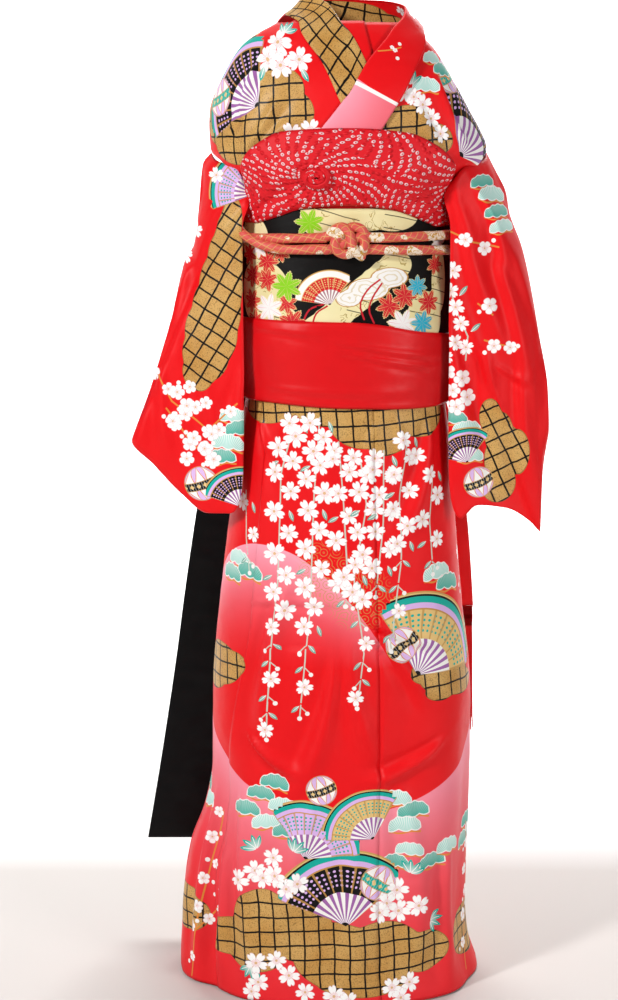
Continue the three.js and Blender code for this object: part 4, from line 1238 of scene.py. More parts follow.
def over_inner(z):
    x = np.maximum(np.minimum(77 - (24 - z) * 0.709, LEFT(z) - NECK_SIDE), -HIDDEN_X)
    return np.where(z > -150, front_angle(x, z), OKUMI_SEAM)


def under_inner(z):
    x = np.minimum(-35 + (46 - z) * 0.507, 2 * HIDDEN_X)
    return np.where(z > -150, front_angle(x, z), UNDER_OKUMI_SEAM)


def free_line(z):
    return np.minimum(FREE_EDGE(z), under_inner(z) - LEAST_TURN)


def loose(z):
    """1 where nothing is tied over the cloth, 0 under the sashes."""
    return ease(-374 - z, 0, 30) + ease(z + 120, 0, 60)


def body_panel(name, first, last, crease, design, out=None, seams=(True, True), turned=0.0):
    """A shell from one line of angles to another, from the shoulder to the hem."""
    def spots(u, v):
        z = lerp(SHOULDER_Z, HEM_Z, v)
        a = first(z) + turn_for(SEAM, first(z), z)
        b = last(z) - turn_for(SEAM, last(z), z)
        return lerp(a, b, u), z, a, b

    def back_shift(z):
        return across_at(np.full(z.shape, turned), z) if turned else 0.0

    def chart(u, v):
        angle, z, _, _ = spots(u, v)
        return across_at(np.where(angle > 180, angle - 360, angle), z) - back_shift(z), z

    def place(u, v):
        angle, z, a, b = spots(u, v)
        x = chart(u, v)[0]
        width = np.linalg.norm(body_section(b, z) - body_section(a, z), axis=-1)
        dip = 0
        for sewn, share in zip(seams, (u, 1 - u)):
            reach = SEAM_REACH if sewn else 1.0
            dip = dip + SEAM_DIP * np.exp(-(share * width / reach) ** 2)
        dip = dip + SEAM_DIP * np.exp(-((z - HEM_Z) / 1.2) ** 2)
        moved = crease(x, z) * loose(z)
        return body_point(angle, z, CLOTH + (out(angle) if out else 0) + moved - dip)

    span = (HEM_Z + SHOULDER_Z) / 2
    middle = np.array([span])
    wide = float(abs(across_at(last(middle), middle)[0] - across_at(first(middle), middle)[0]))
    if turned:
        wide = BACK_WIDE
    mesh = cloth_mesh(name, max(8, round(wide / SQUARE)), round((SHOULDER_Z - HEM_Z) / SQUARE), place, chart)
    print_on(mesh, design)
    piece = new_piece(name, name.removeprefix("silk_"), mesh, [SILK, LINING])
    give_thickness(piece, SHELL)
    return piece


def front_crease(x, z):
    pressed = FRONT_CREASE_LIFT * creased(FRONT_CREASES, x, z)
    return pressed + 0.9 * ripple(x, z, 110, 5) + 0.35 * ripple(x, z, 34, 7)


def back_crease(x, z):
    return creased(BACK_CREASES, x, z) + 0.9 * ripple(x, z, 110, 8) + 0.35 * ripple(x, z, 36, 9)


def make_body():
    left_side = lambda z: 90 - armhole_reach(z)
    right_side = lambda z: -90 + armhole_reach(z)
    okumi = lambda z: np.full(np.shape(z), float(OKUMI_SEAM))
    under_okumi = lambda z: np.full(np.shape(z), float(UNDER_OKUMI_SEAM))
    under_edge = lambda z: np.maximum(over_inner(z) + LEAST_TURN, UNDER_OKUMI_EDGE)
    middle = lambda z: np.full(np.shape(z), 180.0)
    back = from_back(FRONT_DESIGN)
    for name in ("large", "small", "stems", "clouds"):
        getattr(back, name).extend(getattr(BACK_DESIGN, name))
    back.hills = BACK_DESIGN.hills
    return [
        body_panel("silk_front_left", over_inner, left_side, front_crease, FRONT_DESIGN, over_out),
        body_panel("silk_front_right", right_side, under_inner, front_crease, FRONT_DESIGN),
        body_panel("silk_okumi_left", free_line, okumi, front_crease, FRONT_DESIGN, over_out, (False, True)),
        body_panel("silk_okumi_right", under_okumi, under_edge, front_crease, FRONT_DESIGN, None,
                   (True, False)),
        body_panel("silk_back_left", lambda z: 90 + armhole_reach(z), middle, back_crease, back, None,
                   turned=180.0),
        body_panel("silk_back_right", middle, lambda z: 270 - armhole_reach(z), back_crease, back, None,
                   turned=-180.0),
    ]


# ---------------------------------------------------------------- collar
COLLAR_OUT, COLLAR_OUT_OVER = 6, 8.8
COLLAR_LENGTH, COLLAR_WIDTH = 640, 50
COLLAR_OVER_ROWS = [
    # t, neck x, neck z, seam x, seam z
    (0.00, -52, -116, -4, -140),
    (0.12, -16, -65, 32, -86),
    (0.24, 20, -13, 59, -42),
    (0.34, 46, 21, 78, -2),
]
COLLAR_NECK_ROWS = [
    # t, angle, neck z, seam z
    (0.42, 84, 46, 22),
    (0.50, 128, 56, 18),
    (0.58, 180, 60, 14),
    (0.66, 232, 64, 24),
    (0.74, 276, 63, 38),
]
COLLAR_UNDER_ROWS = [
    (0.82, -20, 52, -52, 32),
    (0.91, 4, 19, -29, -7),
    (1.00, 31, -34, 6, -70),
]


def collar_columns():
    rows = []
    for t, neck_x, neck_z, seam_x, seam_z in COLLAR_OVER_ROWS:
        angles = float(front_angle(neck_x, neck_z)), float(front_angle(seam_x, seam_z))
        rows.append((t, angles[0], neck_z, angles[1], seam_z, COLLAR_OUT_OVER))
    for t, angle, neck_z, seam_z in COLLAR_NECK_ROWS:
        rows.append((t, angle, neck_z, angle, seam_z, COLLAR_OUT_OVER if angle < 90 else COLLAR_OUT))
    for t, neck_x, neck_z, seam_x, seam_z in COLLAR_UNDER_ROWS:
        angles = float(front_angle(neck_x, neck_z)), float(front_angle(seam_x, seam_z))
        rows.append((t, angles[0] + 360, neck_z, angles[1] + 360, seam_z, COLLAR_OUT))
    return columns(rows)


def collar_design():
    d = Design(31)
    d.cloud((568, 0, 78, 60), (650, 0, 70, 60), (500, 6, 26, 20), (486, -14, 20, 14))
    d.cloud((372, 4, 44, 18), (340, -8, 30, 16))
    d.twig([(176, 22), (190, 10), (200, 4)], 2, 3)
    d.blossoms([(262, 8), (280, -6), (300, 10)], 9)
    d.hills = [(40, 30, 88, 0, 0)]
    d.stem([(132, -30), (122, 30)], 2.6, STEM_WHITE)
    return d


def make_collar():
    neck_angle, neck_z, seam_angle, seam_z, out = collar_columns()

    def spread(u):
        return 0.5 - 0.5 * np.cos(math.pi * u)

    def place(u, v):
        s = spread(u)
        angle = lerp(seam_angle(v), neck_angle(v), s)
        z = lerp(seam_z(v), neck_z(v), s)
        edge = np.minimum(s, 1 - s) * COLLAR_WIDTH
        roll = 1.9 * (1 - np.sqrt(1 - (1 - np.minimum(edge / 2.4, 1)) ** 2))
        end = 1.9 * np.exp(-(np.minimum(v, 1 - v) * COLLAR_LENGTH / 1.5) ** 2)
        soft = 0.5 * ripple(v * COLLAR_LENGTH, s * COLLAR_WIDTH, 60, 3)
        return body_point(angle, z, out(v) - roll - end + soft)

    def chart(u, v):
        return v * COLLAR_LENGTH, (spread(u) - 0.5) * COLLAR_WIDTH

    mesh = cloth_mesh("collar_band", 22, 260, place, chart)
    print_on(mesh, collar_design(), lattice_turn=12)
    piece = new_piece("collar_band", "collar", mesh, [SILK, SILK])
    give_thickness(piece, SHELL)
    return piece


# ---------------------------------------------------------------- sleeves
# Each sleeve is a flat bag between four edges. `half` is half the bag's depth.
SLEEVES = {
    "sleeve_right": {
        "body_side": [
            # share, x, front y, back y, z
            (0.00, -147, -2, 2, -105),
            (0.05, -144, -30, 30, -112),
            (0.12, -136, -60, 53, -120),
            (0.20, -130, -62, 46, -150),
            (0.34, -130, -63, 36, -215),
            (0.58, -129, -61, 24, -330),
            (0.80, -129, -62, 2, -418),
            (1.00, -127, -70, -62, -494),
        ],
        "over_arm": [
            # share, x, y, z
            (0.00, -147, 0, -105),
            (0.08, -156, 0, -117),
            (0.30, -161, -1, -165),
            (0.52, -167, -3, -206),
            (0.62, -176, -5, -220),
            (0.78, -182, -8, -248),
            (1.00, -183, -12, -288),
        ],
        "cuff": [
            (0.00, -183, -15, -9, -288),
            (0.50, -206, -32, -8, -352),
            (1.00, -225, -34, -26, -398),
        ],
        "bottom": [
            (0.00, -127, -66, -494),
            (0.22, -152, -58, -495),
            (0.45, -182, -48, -474),
            (0.66, -212, -38, -444),
            (0.84, -236, -32, -419),
            (1.00, -225, -30, -398),
        ],
        "steps": [
            # x0, z0, x1, z1, forward of it towards the body, forward of it away from the body
            (-113, -117, -234, -418, 8, 0),
        ],
    },
    "sleeve_left": {
        "body_side": [
            (0.00, 154, -2, 2, -104.8),
            (0.05, 151, -30, 30, -112),
            (0.12, 142, -64, 53, -120),
            (0.20, 131, -62, 46, -150),
            (0.34, 130, -63, 36, -215),
            (0.58, 130, -61, 24, -330),
            (0.80, 130, -62, 2, -420),
            (1.00, 128, -70, -62, -500),
        ],
        "over_arm": [
            (0.00, 154, 0, -104.8),
            (0.08, 163, 0, -122),
            (0.20, 176, -1, -148),
            (0.34, 180, -2, -170),
            (0.50, 194, -5, -207),
            (0.75, 205, -8, -254),
            (1.00, 214, -10, -305),
        ],
        "cuff": [
            (0.00, 214, -13, -7, -305),
            (0.50, 222, -28, -4, -358),
            (1.00, 225, -30, -22, -412),
        ],
        "bottom": [
            (0.00, 128, -66, -500),
            (0.20, 146, -60, -486),
            (0.42, 178, -50, -491),
            (0.60, 204, -40, -507),
            (0.72, 217, -34, -521),
            (0.86, 219, -30, -455),
            (1.00, 225, -26, -412),
        ],
        "steps": [
            (108, -170, 204, -494, 0, 9),
            (118, -205, 163, -470, 5, 0),
        ],
    },
}
SLEEVE_CREASES = {
    # x, z, to x, to z, height, width, bow
    "sleeve_right": [
        (-132, -122, -150, -200, 2.6, 5, 3),
        (-124, -140, -134, -240, 2.0, 5, -3),
        (-160, -180, -190, -300, 2.6, 7, 4),
        (-172, -300, -150, -470, 3.0, 10, -6),
        (-200, -330, -196, -440, 2.4, 8, 4),
        (-128, -330, -140, -480, 2.0, 7, 3),
    ],
    "sleeve_left": [
        (140, -130, 150, -210, 2.8, 6, 4),
        (158, -140, 176, -250, 3.0, 7, -4),
        (140, -180, 186, -330, 3.2, 9, 6),
        (168, -220, 206, -400, 3.4, 10, -7),
        (160, -300, 184, -480, 2.8, 9, 6),
        (192, -330, 212, -470, 2.6, 8, 4),
        (132, -300, 140, -470, 2.2, 7, -3),
        (166, -330, 206, -352, 1.6, 4, 3),
    ],
}
SLEEVE_SQUARE = 2.6
FOLD_SOFTNESS = 3.2       # how sharply a folded-over layer's edge falls away
SLEEVE_LAP = 18.5
UNDERARM_LAP = 9
BACK_OF_SLEEVE = 600      # the sleeve's back has its design this far along the cloth


class SleeveEdge:
    """One edge of the bag: its middle line and half its depth."""

    def __init__(self, rows):
        rows = [row if len(row) == 5 else (row[0], row[1], row[2], row[2], row[3]) for row in rows]
        self.x, self.front, self.back, self.z = columns(rows)

    def __call__(self, share):
        front, back = self.front(share), self.back(share)
        return np.stack([self.x(share), (front + back) / 2, self.z(share)], -1), (back - front) / 2


def folded_forward(steps, x, z):
    forward = 0
    for x0, z0, x1, z1, to_body, away in steps:
        length = math.hypot(x1 - x0, z1 - z0)
        side = ((x - x0) * (z1 - z0) - (z - z0) * (x1 - x0)) / length
        share = ease(np.sign(x0) * -side, -FOLD_SOFTNESS, FOLD_SOFTNESS)
        forward = forward + lerp(to_body, away, share)
    return forward


def make_sleeve(node, design):
    table = SLEEVES[node]
    names = ("body_side", "over_arm", "cuff", "bottom")
    body_side, over_arm, cuff, bottom = [SleeveEdge(table[name]) for name in names]
    wearers_left = node == "sleeve_left"
    ends = np.array([0.0, 1.0])
    body_ends = body_side(ends)[0]
    cuff_ends = cuff(ends)[0]

    def bag(across, down):
        body, body_half = body_side(down)
        out, out_half = cuff(down)
        a, d = across[:, None], down[:, None]
        point = body * (1 - a) + out * a + over_arm(across)[0] * (1 - d) + bottom(across)[0] * d
        point = point - body_ends[0] * (1 - a) * (1 - d) - body_ends[1] * (1 - a) * d
        point = point - cuff_ends[0] * a * (1 - d) - cuff_ends[1] * a * d
        return point, lerp(body_half, out_half, across)

    def down_at(v):
        return lerp(v, 0.5 - 0.5 * np.cos(math.pi * v), 0.6)

    def rounding(down):
        return np.sqrt(np.maximum(1 - (2 * down - 1) ** 6, 0))

    def front(u, v):
        across, down = (u if wearers_left else 1 - u), down_at(v)
        point, half = bag(across, down)
        x, z = point[:, 0].copy(), point[:, 2].copy()
        fold = folded_forward(table["steps"], x, z) + creased(SLEEVE_CREASES[node], x, z)
        point[:, 1] -= rounding(down) * (half + fold + 0.7 * ripple(x, z, 50, 2))
        lap = SLEEVE_LAP * ease(down, 0.03, 0.12) + UNDERARM_LAP * np.exp(-((z + 148) / 20) ** 2)
        point[:, 0] -= np.sign(x) * lap * rounding(down) * (1 - across) ** 3
        return point

    def back(u, v):
        across, down = (1 - u if wearers_left else u), down_at(v)
        point, half = bag(across, down)
        point[:, 1] += rounding(down) * (half + 0.9 * ripple(point[:, 0], point[:, 2], 60, 4))
        return point

    def front_chart(u, v):
        point = front(u, v)
        return point[:, 0], point[:, 2]

    def back_chart(u, v):
        point = back(u, v)
        return point[:, 0] + BACK_OF_SLEEVE, point[:, 2]

    across, down = round(105 / SLEEVE_SQUARE), round(400 / SLEEVE_SQUARE)
    mesh = joined(f"silk_{node}", [
        cloth_mesh("front_half", across, down, front, front_chart),
        cloth_mesh("back_half", across, down, back, back_chart),
    ])
    print_on(mesh, design, lattice_turn=26 if wearers_left else -30)
    piece = new_piece(f"silk_{node}", node, mesh, [SILK, SLEEVE_LINING])
    give_thickness(piece, SHELL)
    return piece


def joined(name, meshes):
    """The meshes as one, with points that meet made one."""
    bm = bmesh.new()
    for mesh in meshes:
        bm.from_mesh(mesh)
        bpy.data.meshes.remove(mesh)
    weld_points(bm)
    made = bpy.data.meshes.new(name)
    bm.to_mesh(made)
    bm.free()
    return made


def sleeve_back_design(d, side, fan_z):
    """The back of a sleeve, whose side is -1 for the wearer's right and 1 for the left."""
    def far(*rows):
        return [(BACK_OF_SLEEVE + side * x, *rest) for x, *rest in rows]

    d.cloud(*far((190, -330, 26, 30), (170, -370, 28, 30), (150, -200, 24, 30)))
    d.twig(far((130, -240), (160, -280), (172, -320)), 6, 8)
    d.pines(far((150, -420, 0.2), (170, -434, 0.9), (190, -424, 0.2)), 17)
    d.fan(*far((150, fan_z))[0], -12, 34, 0.0)
    d.blossoms(far((140, -160), (160, -176), (150, -192), (140, -300)), 10)


def right_sleeve_design():
    """The wearer's right sleeve, as seen from the front; its back lies further along."""
    d = Design(41)
    d.cloud((-122, -174, 11, 26), (-126, -196, 15, 32), (-130, -220, 20, 36), (-135, -246, 24, 38))
    d.cloud((-140, -272, 27, 38), (-146, -296, 29, 38), (-152, -318, 26, 32), (-160, -338, 18, 22))
    d.twig([(-118, -372), (-150, -402), (-190, -372), (-212, -330)], 5, 8)
    d.twig([(-140, -440), (-166, -420), (-196, -380)], 5, 8)
    d.blossoms([(-184, -362), (-170, -356), (-152, -372), (-164, -378), (-175, -386), (-189, -394)], 8, PLUM)
    d.blossoms([(-138, -401), (-166, -412), (-146, -406), (-154, -423), (-144, -434), (-174, -435)], 8, PLUM)
    d.pines([(-121, -388, 0.2), (-114, -401, 0.9), (-128, -417, 0.15), (-136, -433, 0.85)], 17)
    d.ball(-158, -462, 20, 19, 0.2)
    d.fan(-118, -470, 14, 30, 0.0)
    d.fan(-112, -135, 50, 34, 0.3)
    d.blossoms([(-140, -128), (-176, -216), (-164, -188)], 9)
    sleeve_back_design(d, -1, -462)
    return d


def left_sleeve_design():
    """The wearer's left sleeve."""
    d = Design(43)
    d.pines([(146, -136, 0.9), (157, -150, 0.15), (162, -168, 0.85), (168, -184, 0.2)], 15)
    d.twig([(110, -186), (136, -198), (164, -204)], 2, 7)
    d.twig([(142, -264), (158, -276)], 1, 8)
    d.twig([(150, -304), (186, -314)], 2, 8)
    d.blossoms([(112, -250), (118, -268), (124, -286), (114, -228)], 10)
    d.stem([(108, -232), (118, -270), (132, -300), (130, -326)], 0.8)
    d.blossoms([(118, -306), (130, -312), (108, -322)], 8.5)
    d.blossoms([(110, -338), (126, -345), (116, -358), (132, -366), (120, -376)], 9, PLUM)
    d.leaf(140, -290, 40, 7, LEAF_GREY)
    d.leaf(126, -250, 50, 7, LEAF_GREY)
    d.pines([(118, -390, 0.9), (132, -402, 0.2), (120, -418, 0.85), (136, -432, 0.2)], 15)
    d.fan(128, -424, 20, 26, 0.0)
    d.ball(146, -460, 20, 17, 0.2)
    d.cloud((158, -388, 12, 20), (168, -408, 16, 26), (172, -436, 20, 28), (168, -462, 20, 22),
            (188, -428, 14, 26))
    sleeve_back_design(d, 1, -470)
    return d


# ---------------------------------------------------------------- sashes round the waist
OBI = {"top": -161, "bottom": -300, "out": 8.6}
SASH = {"out_top": 11.8, "out_bottom": 8.2}
SCARF = {"out_top": 12.8, "out_bottom": 11.6, "puff": 5, "puff_under_arm": 0.6}
CORD_RADIUS = 5.5
REST_GAP = 0.4
SCARF_EDGES = [
    # angle, top, bottom
    (-180, -153, -178),
    (-90, -155, -178),
    (-64, -150, -178),
    (-55, -136, -178),
    (-46, -114, -175),
    (-34, -92, -169),
    (-22, -80, -162),
    (0, -77, -158),
    (22, -82, -163),
    (34, -96, -170),
    (46, -120, -178),
    (55, -139, -182),
    (64, -151, -182),
    (90, -155, -182),
    (180, -153, -178),
]
SASH_EDGES = [
    (-180, -288, -374),
    (-90, -281, -371),
    (-45, -280, -370),
    (0, -281, -374),
    (45, -294, -376),
    (90, -300, -375),
    (180, -288, -374),
]
OBI_EDGES = [(-180, OBI["top"], OBI["bottom"]), (180, OBI["top"], OBI["bottom"])]
SASH_CREASES = [
    # across, z, to across, to z, height, width, bow
    (-20, -300, 105, -322, 1.6, 4, 2),
    (-10, -312, 108, -334, 1.4, 4, 2),
    (-104, -290, -20, -296, 1.0, 5, -2),
    (-90, -352, 90, -356, 0.9, 6, 3),
]
SCARF_CREASES = [
    (-112, -168, -30, -100, 1.4, 6, 6),
    (-100, -172, 0, -130, 1.2, 6, 4),
    (112, -172, 36, -104, 1.4, 6, -6),
    (100, -176, 20, -134, 1.2, 6, -4),
]


def scarf_out(share, angle):
    in_front = ease(np.cos(np.radians(angle)), 0.35, 0.8)
    puff = lerp(SCARF["puff_under_arm"], SCARF["puff"], in_front) * np.sin(math.pi * share)
    return lerp(SCARF["out_top"], SCARF["out_bottom"], share) + puff


def make_band(name, node, edges, out, crease, materials, square=3.0, design=None):
    """A cloth band right round the waist with soft turned edges."""
    top, bottom = columns(edges)

    def chart(u, v):
        angle = lerp(-180, 180, u)
        z = lerp(top(angle), bottom(angle), v)
        return across_at(angle, np.full(z.shape, float(WAIST_LEVEL))), z

    def place(u, v):
        angle = lerp(-180, 180, u)
        x, z = chart(u, v)
        high = top(angle) - bottom(angle)
        edge = np.minimum(v, 1 - v) * high
        roll = 1.6 * np.exp(-(edge / 1.6) ** 2)
        return waist_point(angle, z, out(v, angle) - roll + crease(x, z) * ease(edge, 0, 6))

    tall = max(row[1] - row[2] for row in edges)
    mesh = cloth_mesh(name, round(WAIST_ROUND / square), round(tall / square), place, chart, weld=True)
    if design:
        print_on(mesh, design, lattice_turn=-14, slots=(1, 4, 2))
    piece = new_piece(name, node, mesh, materials)
    give_thickness(piece, SHELL)
    return piece


MAPLE_RED, MAPLE_WHITE, MAPLE_LIME, MAPLE_BLUE = 0.2, 0.5, 0.75, 0.95


def obi_design():
    """The brocade's figures; the same group comes again round the obi and on its knot."""
    d = Design(51)
    repeat = 262
    for shift in (-repeat, 0, repeat, 400):
        def maples(rows, tint):
            for x, z, size in rows:
                d.small.append((x + shift, z, d.rng.uniform(-30, 50), size * 1.22, MAPLE, tint))

        for step in range(9):
            d.cloud((shift - 28 + step * 9.8, -288 + step * 8.4, 17, 15))
        d.cloud((shift - 92, -252, 34, 36), (shift - 74, -286, 26, 26), (shift - 104, -196, 22, 26))
        d.cloud((shift + 14, -166, 44, 19), (shift - 24, -172, 24, 20), (shift + 48, -170, 26, 15))
        d.cloud((shift + 84, -280, 22, 30), (shift + 104, -240, 12, 34))
        d.scrolls += [(shift + 22, -246, 22, 12), (shift + 44, -234, 20, 11), (shift + 2, -256, 14, 9)]
        d.large.append((shift - 22, -250, 22, 25, FAN, 0.0))
        maples([(-84, -218, 12), (-104, -234, 12), (-84, -238, 11), (-56, -282, 13), (-106, -262, 12),
                (-110, -212, 11), (-68, -208, 9), (-100, -284, 12), (-62, -262, 10)], MAPLE_RED)
        maples([(44, -264, 12), (60, -254, 12), (88, -262, 12), (97, -222, 10), (48, -292, 9)], MAPLE_RED)
        maples([(-82, -268, 14), (58, -284, 14), (-94, -204, 10), (12, -294, 10), (102, -198, 10)],
               MAPLE_WHITE)
        maples([(-62, -244, 14), (-38, -176, 13)], MAPLE_LIME)
        maples([(80, -284, 12), (74, -244, 10)], MAPLE_BLUE)
        for cord in (((34, -236), (22, -246), (14, -262), (18, -278)),
                     ((36, -240), (27, -254), (23, -268), (28, -282)),
                     ((-24, -262), (-38, -268), (-45, -282)),
                     ((-20, -264), (-31, -272), (-36, -288))):
            d.stem(smooth_route([(shift + x, z) for x, z in cord], 9), 0.9, STEM_RED)
    return d


def make_sashes():
    obi = make_band(
        "obi_band", "obi", OBI_EDGES, lambda v, angle: OBI["out"] + 0 * v,
        lambda x, z: 0.4 * ripple(x, z, 70, 12), [BROCADE, BROCADE], design=obi_design())
    scarf = make_band(
        "obiage_band", "obiage", SCARF_EDGES, scarf_out,
        lambda x, z: creased(SCARF_CREASES, x, z) + 0.4 * ripple(x, z, 30, 6), [SHIBORI, SHIBORI])
    sash = make_band(
        "shigoki_band", "shigoki", SASH_EDGES,
        lambda v, angle: lerp(SASH["out_top"], SASH["out_bottom"], ease(v, 0.25, 1)),
        lambda x, z: creased(SASH_CREASES, x, z) + 0.5 * ripple(x, z, 60, 9), [SASH_SILK, SASH_SILK])
    return obi, scarf, sash


# ---------------------------------------------------------------- cords and knots
CORD_RUNS = {
    # angle, z, further out
    "obijime_upper": [(8, -191, 0), (60, -191, 0), (90, -193, 0), (180, -190, 0), (260, -190, 0),
                      (300, -194, 0), (320, -193, 0), (352, -191, 0)],
    "obijime_lower": [(8, -203, 0), (60, -207, 0), (90, -209, 0), (180, -204, 0), (250, -190, 0),
                      (272, -179, 1), (293, -182, 6), (304, -190, 9), (316, -200, 5), (330, -204, 1),
                      (352, -203, 0)],
}
CORD_KNOT_Z = -197
CORD_LOOP_RADIUS = 5.3
CORD_ROUND = 35.0      # the cloth round a cord


def tube_mesh(name, route, radius, sides=18, outward=(0, -1, 0), round_ends=False):
    """A round padded tube along a route in mm. radius may be a function of the share along it."""
    steps = len(route) - 1
    along = unit(np.gradient(route, axis=0))
    across = unit(np.cross(along, np.broadcast_to(outward, along.shape)))
    ahead = np.cross(across, along)

    def place(u, v):
        i = np.clip((u * steps).round().astype(int), 0, steps)
        wide = radius(u, v) if callable(radius) else np.full(u.shape, float(radius))
        if round_ends:
            end = np.minimum(u, 1 - u) * steps / 4
            wide = wide * np.sqrt(1 - (1 - np.minimum(end, 1)) ** 2 + 0.001)
        turn = 2 * math.pi * v
        side = ahead[i] * -np.cos(turn)[:, None] - across[i] * np.sin(turn)[:, None]
        return route[i] + side * wide[:, None]

    lengths = np.concatenate([[0], np.cumsum(np.linalg.norm(np.diff(route, axis=0), axis=1))])

    def chart(u, v):
        i = np.clip((u * steps).round().astype(int), 0, steps)
        return lengths[i], v * CORD_ROUND

    return cloth_mesh(name, steps, sides, place, chart, weld=True)


def make_cords():
    pieces = []
    for number, (name, rows) in enumerate(CORD_RUNS.items()):
        height, further = columns(rows)
        angle = np.linspace(rows[0][0], rows[-1][0], 280)
        route = waist_point(angle, height(angle), OBI["out"] + REST_GAP + CORD_RADIUS + further(angle))

        def radius(u, v):
            return CORD_RADIUS - 0.3 + 0.25 * np.sin(u * 90 + number) + 0.2 * np.sin(u * 41 + 6.28 * v)

        mesh = tube_mesh(f"{name}_tube", route, radius, outward=(0, 0, 1))
        pieces.append(new_piece(f"{name}_tube", name, mesh, [CORD_CLOTH]))
    return pieces


CORD_LOOPS = [
    # Points of each stretch of the knot: x, height over the knot's middle, how far in front of the obi.
    [(-26, 6, 6), (-18, 8, 7), (-13, 14, 8), (-5, 17, 8), (2, 12, 10), (4, 3, 13), (7, -6, 14), (13, -12, 11),
     (17, -14, 8)],
    [(26, 6, 6), (19, 8, 6), (14, 15, 7), (6, 17, 6), (-1, 13, 6), (-8, 8, 8), (-12, 1, 11), (-10, -7, 12),
     (-2, -11, 10), (8, -9, 7), (26, -7, 6)],
    [(-26, -7, 6), (-16, -6, 6), (-6, -2, 8), (3, 2, 8), (11, 6, 8), (16, 5, 9), (17, -2, 10), (12, -7, 9)],
    [(-12, 7, 5), (-2, 3, 5), (8, 2, 5), (14, 8, 5)],
]


def make_cord_knot():
    meshes = []
    for number, loop in enumerate(CORD_LOOPS):
        x, up, forward = np.array(loop, float).T
        z = CORD_KNOT_Z + up
        points = waist_point(front_angle(x, z), z, OBI["out"] + REST_GAP + forward)
        route = smooth_route(points, 60)
        meshes.append(tube_mesh(f"loop_{number}", route, CORD_LOOP_RADIUS, round_ends=True))
    mesh = joined("obijime_knot_loops", meshes)
    return new_piece("obijime_knot_loops", "obijime_knot", mesh, [CORD_CLOTH])


SCARF_KNOT = {"x": -31, "z": -128, "radius": 15, "turns": 2.2}


def make_scarf_knot():
    """A small rosette: the scarf's end coiled on itself."""
    share = np.linspace(0, 1, 90)
    turn = share * SCARF_KNOT["turns"] * 2 * math.pi
    reach = lerp(2.0, SCARF_KNOT["radius"] - 3.2, share)
    x = SCARF_KNOT["x"] + reach * np.cos(turn)
    z = SCARF_KNOT["z"] + reach * np.sin(turn) * 0.82
    angle = front_angle(x, z)
    face = scarf_out(0.6, angle)
    route = waist_point(angle, z, face + lerp(6.0, 2.4, share))

    def radius(u, v):
        return lerp(2.6, 4.0, u) * (1 + 0.14 * np.sin(v * 37 + u * 9) + 0.08 * np.sin(u * 47))

    mesh = tube_mesh("obiage_rosette", route, radius, sides=20, round_ends=True)
    return new_piece("obiage_rosette", "obiage_knot", mesh, [SHIBORI])


# ---------------------------------------------------------------- what hangs at the back and side
OBI_KNOT = {"width": 132, "height": 104, "depth": 34, "z": -214, "clear": 0.5}
KNOT_STEPS = 149
KNOT_PROFILE = [
    # share of the depth from the obi, share of the height from the middle
    (0.06, 0.34), (0.16, 0.45), (0.42, 0.5), (0.74, 0.46), (0.93, 0.3), (0.98, 0.0), (0.95, -0.28),
    (0.8, -0.45), (0.5, -0.5), (0.22, -0.45), (0.09, -0.3), (0.05, 0.0), (0.12, 0.24), (0.32, 0.37),
    (0.58, 0.35), (0.76, 0.18), (0.79, -0.1), (0.66, -0.32), (0.42, -0.34), (0.27, -0.2), (0.27, 0.05),
    (0.44, 0.18), (0.58, 0.06),
]


def make_obi_knot():
    """The obi folded into a drum: one length of brocade turned over, down and up again inside."""
    front = waist_point(np.array(180.0), np.array(float(OBI_KNOT["z"])),
                        np.array(OBI["out"] + REST_GAP + 2 * CORD_RADIUS + OBI_KNOT["clear"]))[1]
    profile = smooth_route([(0, d, h) for d, h in KNOT_PROFILE], KNOT_STEPS + 1)
    lengths = np.concatenate([[0], np.cumsum(np.linalg.norm(np.diff(profile, axis=0), axis=1))]) * 60

    def place(u, v):
        i = (v * KNOT_STEPS).round().astype(int)
        side = 2 * u - 1
        squeeze = 1 - 0.05 * (1 - side ** 2)
        x = -side * OBI_KNOT["width"] / 2 * 0.97
        y = front + OBI_KNOT["depth"] * profile[i, 1] + 1.2 * np.sin(side * 2.4 + v * 5)
        z = OBI_KNOT["z"] + OBI_KNOT["height"] * profile[i, 2] * squeeze
        return np.stack([x, y, z], -1)

    def chart(u, v):
        step = (v * KNOT_STEPS).round().astype(int)
        return (u - 0.5) * OBI_KNOT["width"] + 400, WAIST_LEVEL - lengths[step]

    mesh = cloth_mesh("obi_drum", 44, KNOT_STEPS, place, chart)
    print_on(mesh, obi_design(), lattice_turn=-14, slots=(1, 4, 2))
    piece = new_piece("obi_drum", "obi_knot", mesh, [BROCADE, SATIN])
    give_thickness(piece, 2 * SHELL)
    return piece


OBI_TAIL_ROWS = [
    # z, right edge x, left edge x, y
    (-224, -104, -16, 83.9),
    (-262, -122, -26, 85.5),
    (-285, -130, -30, 90),
    (-400, -150, -44, 97),
    (-510, -170, -54, 102),
    (-620, -187, -66, 107),
    (-700, -198, -74, 111),
    (-815, -216, -88, 117),
    (-932, -236, -104, 122),
]
SASH_TAIL_ROWS = [
    (-352, 84, 108, 67.5),
    (-440, 104, 130, 66),
    (-530, 118, 144, 69),
    (-600, 124, 150, 71),
    (-630, 132, 152, 72),
]
STRIP_THICK = 3


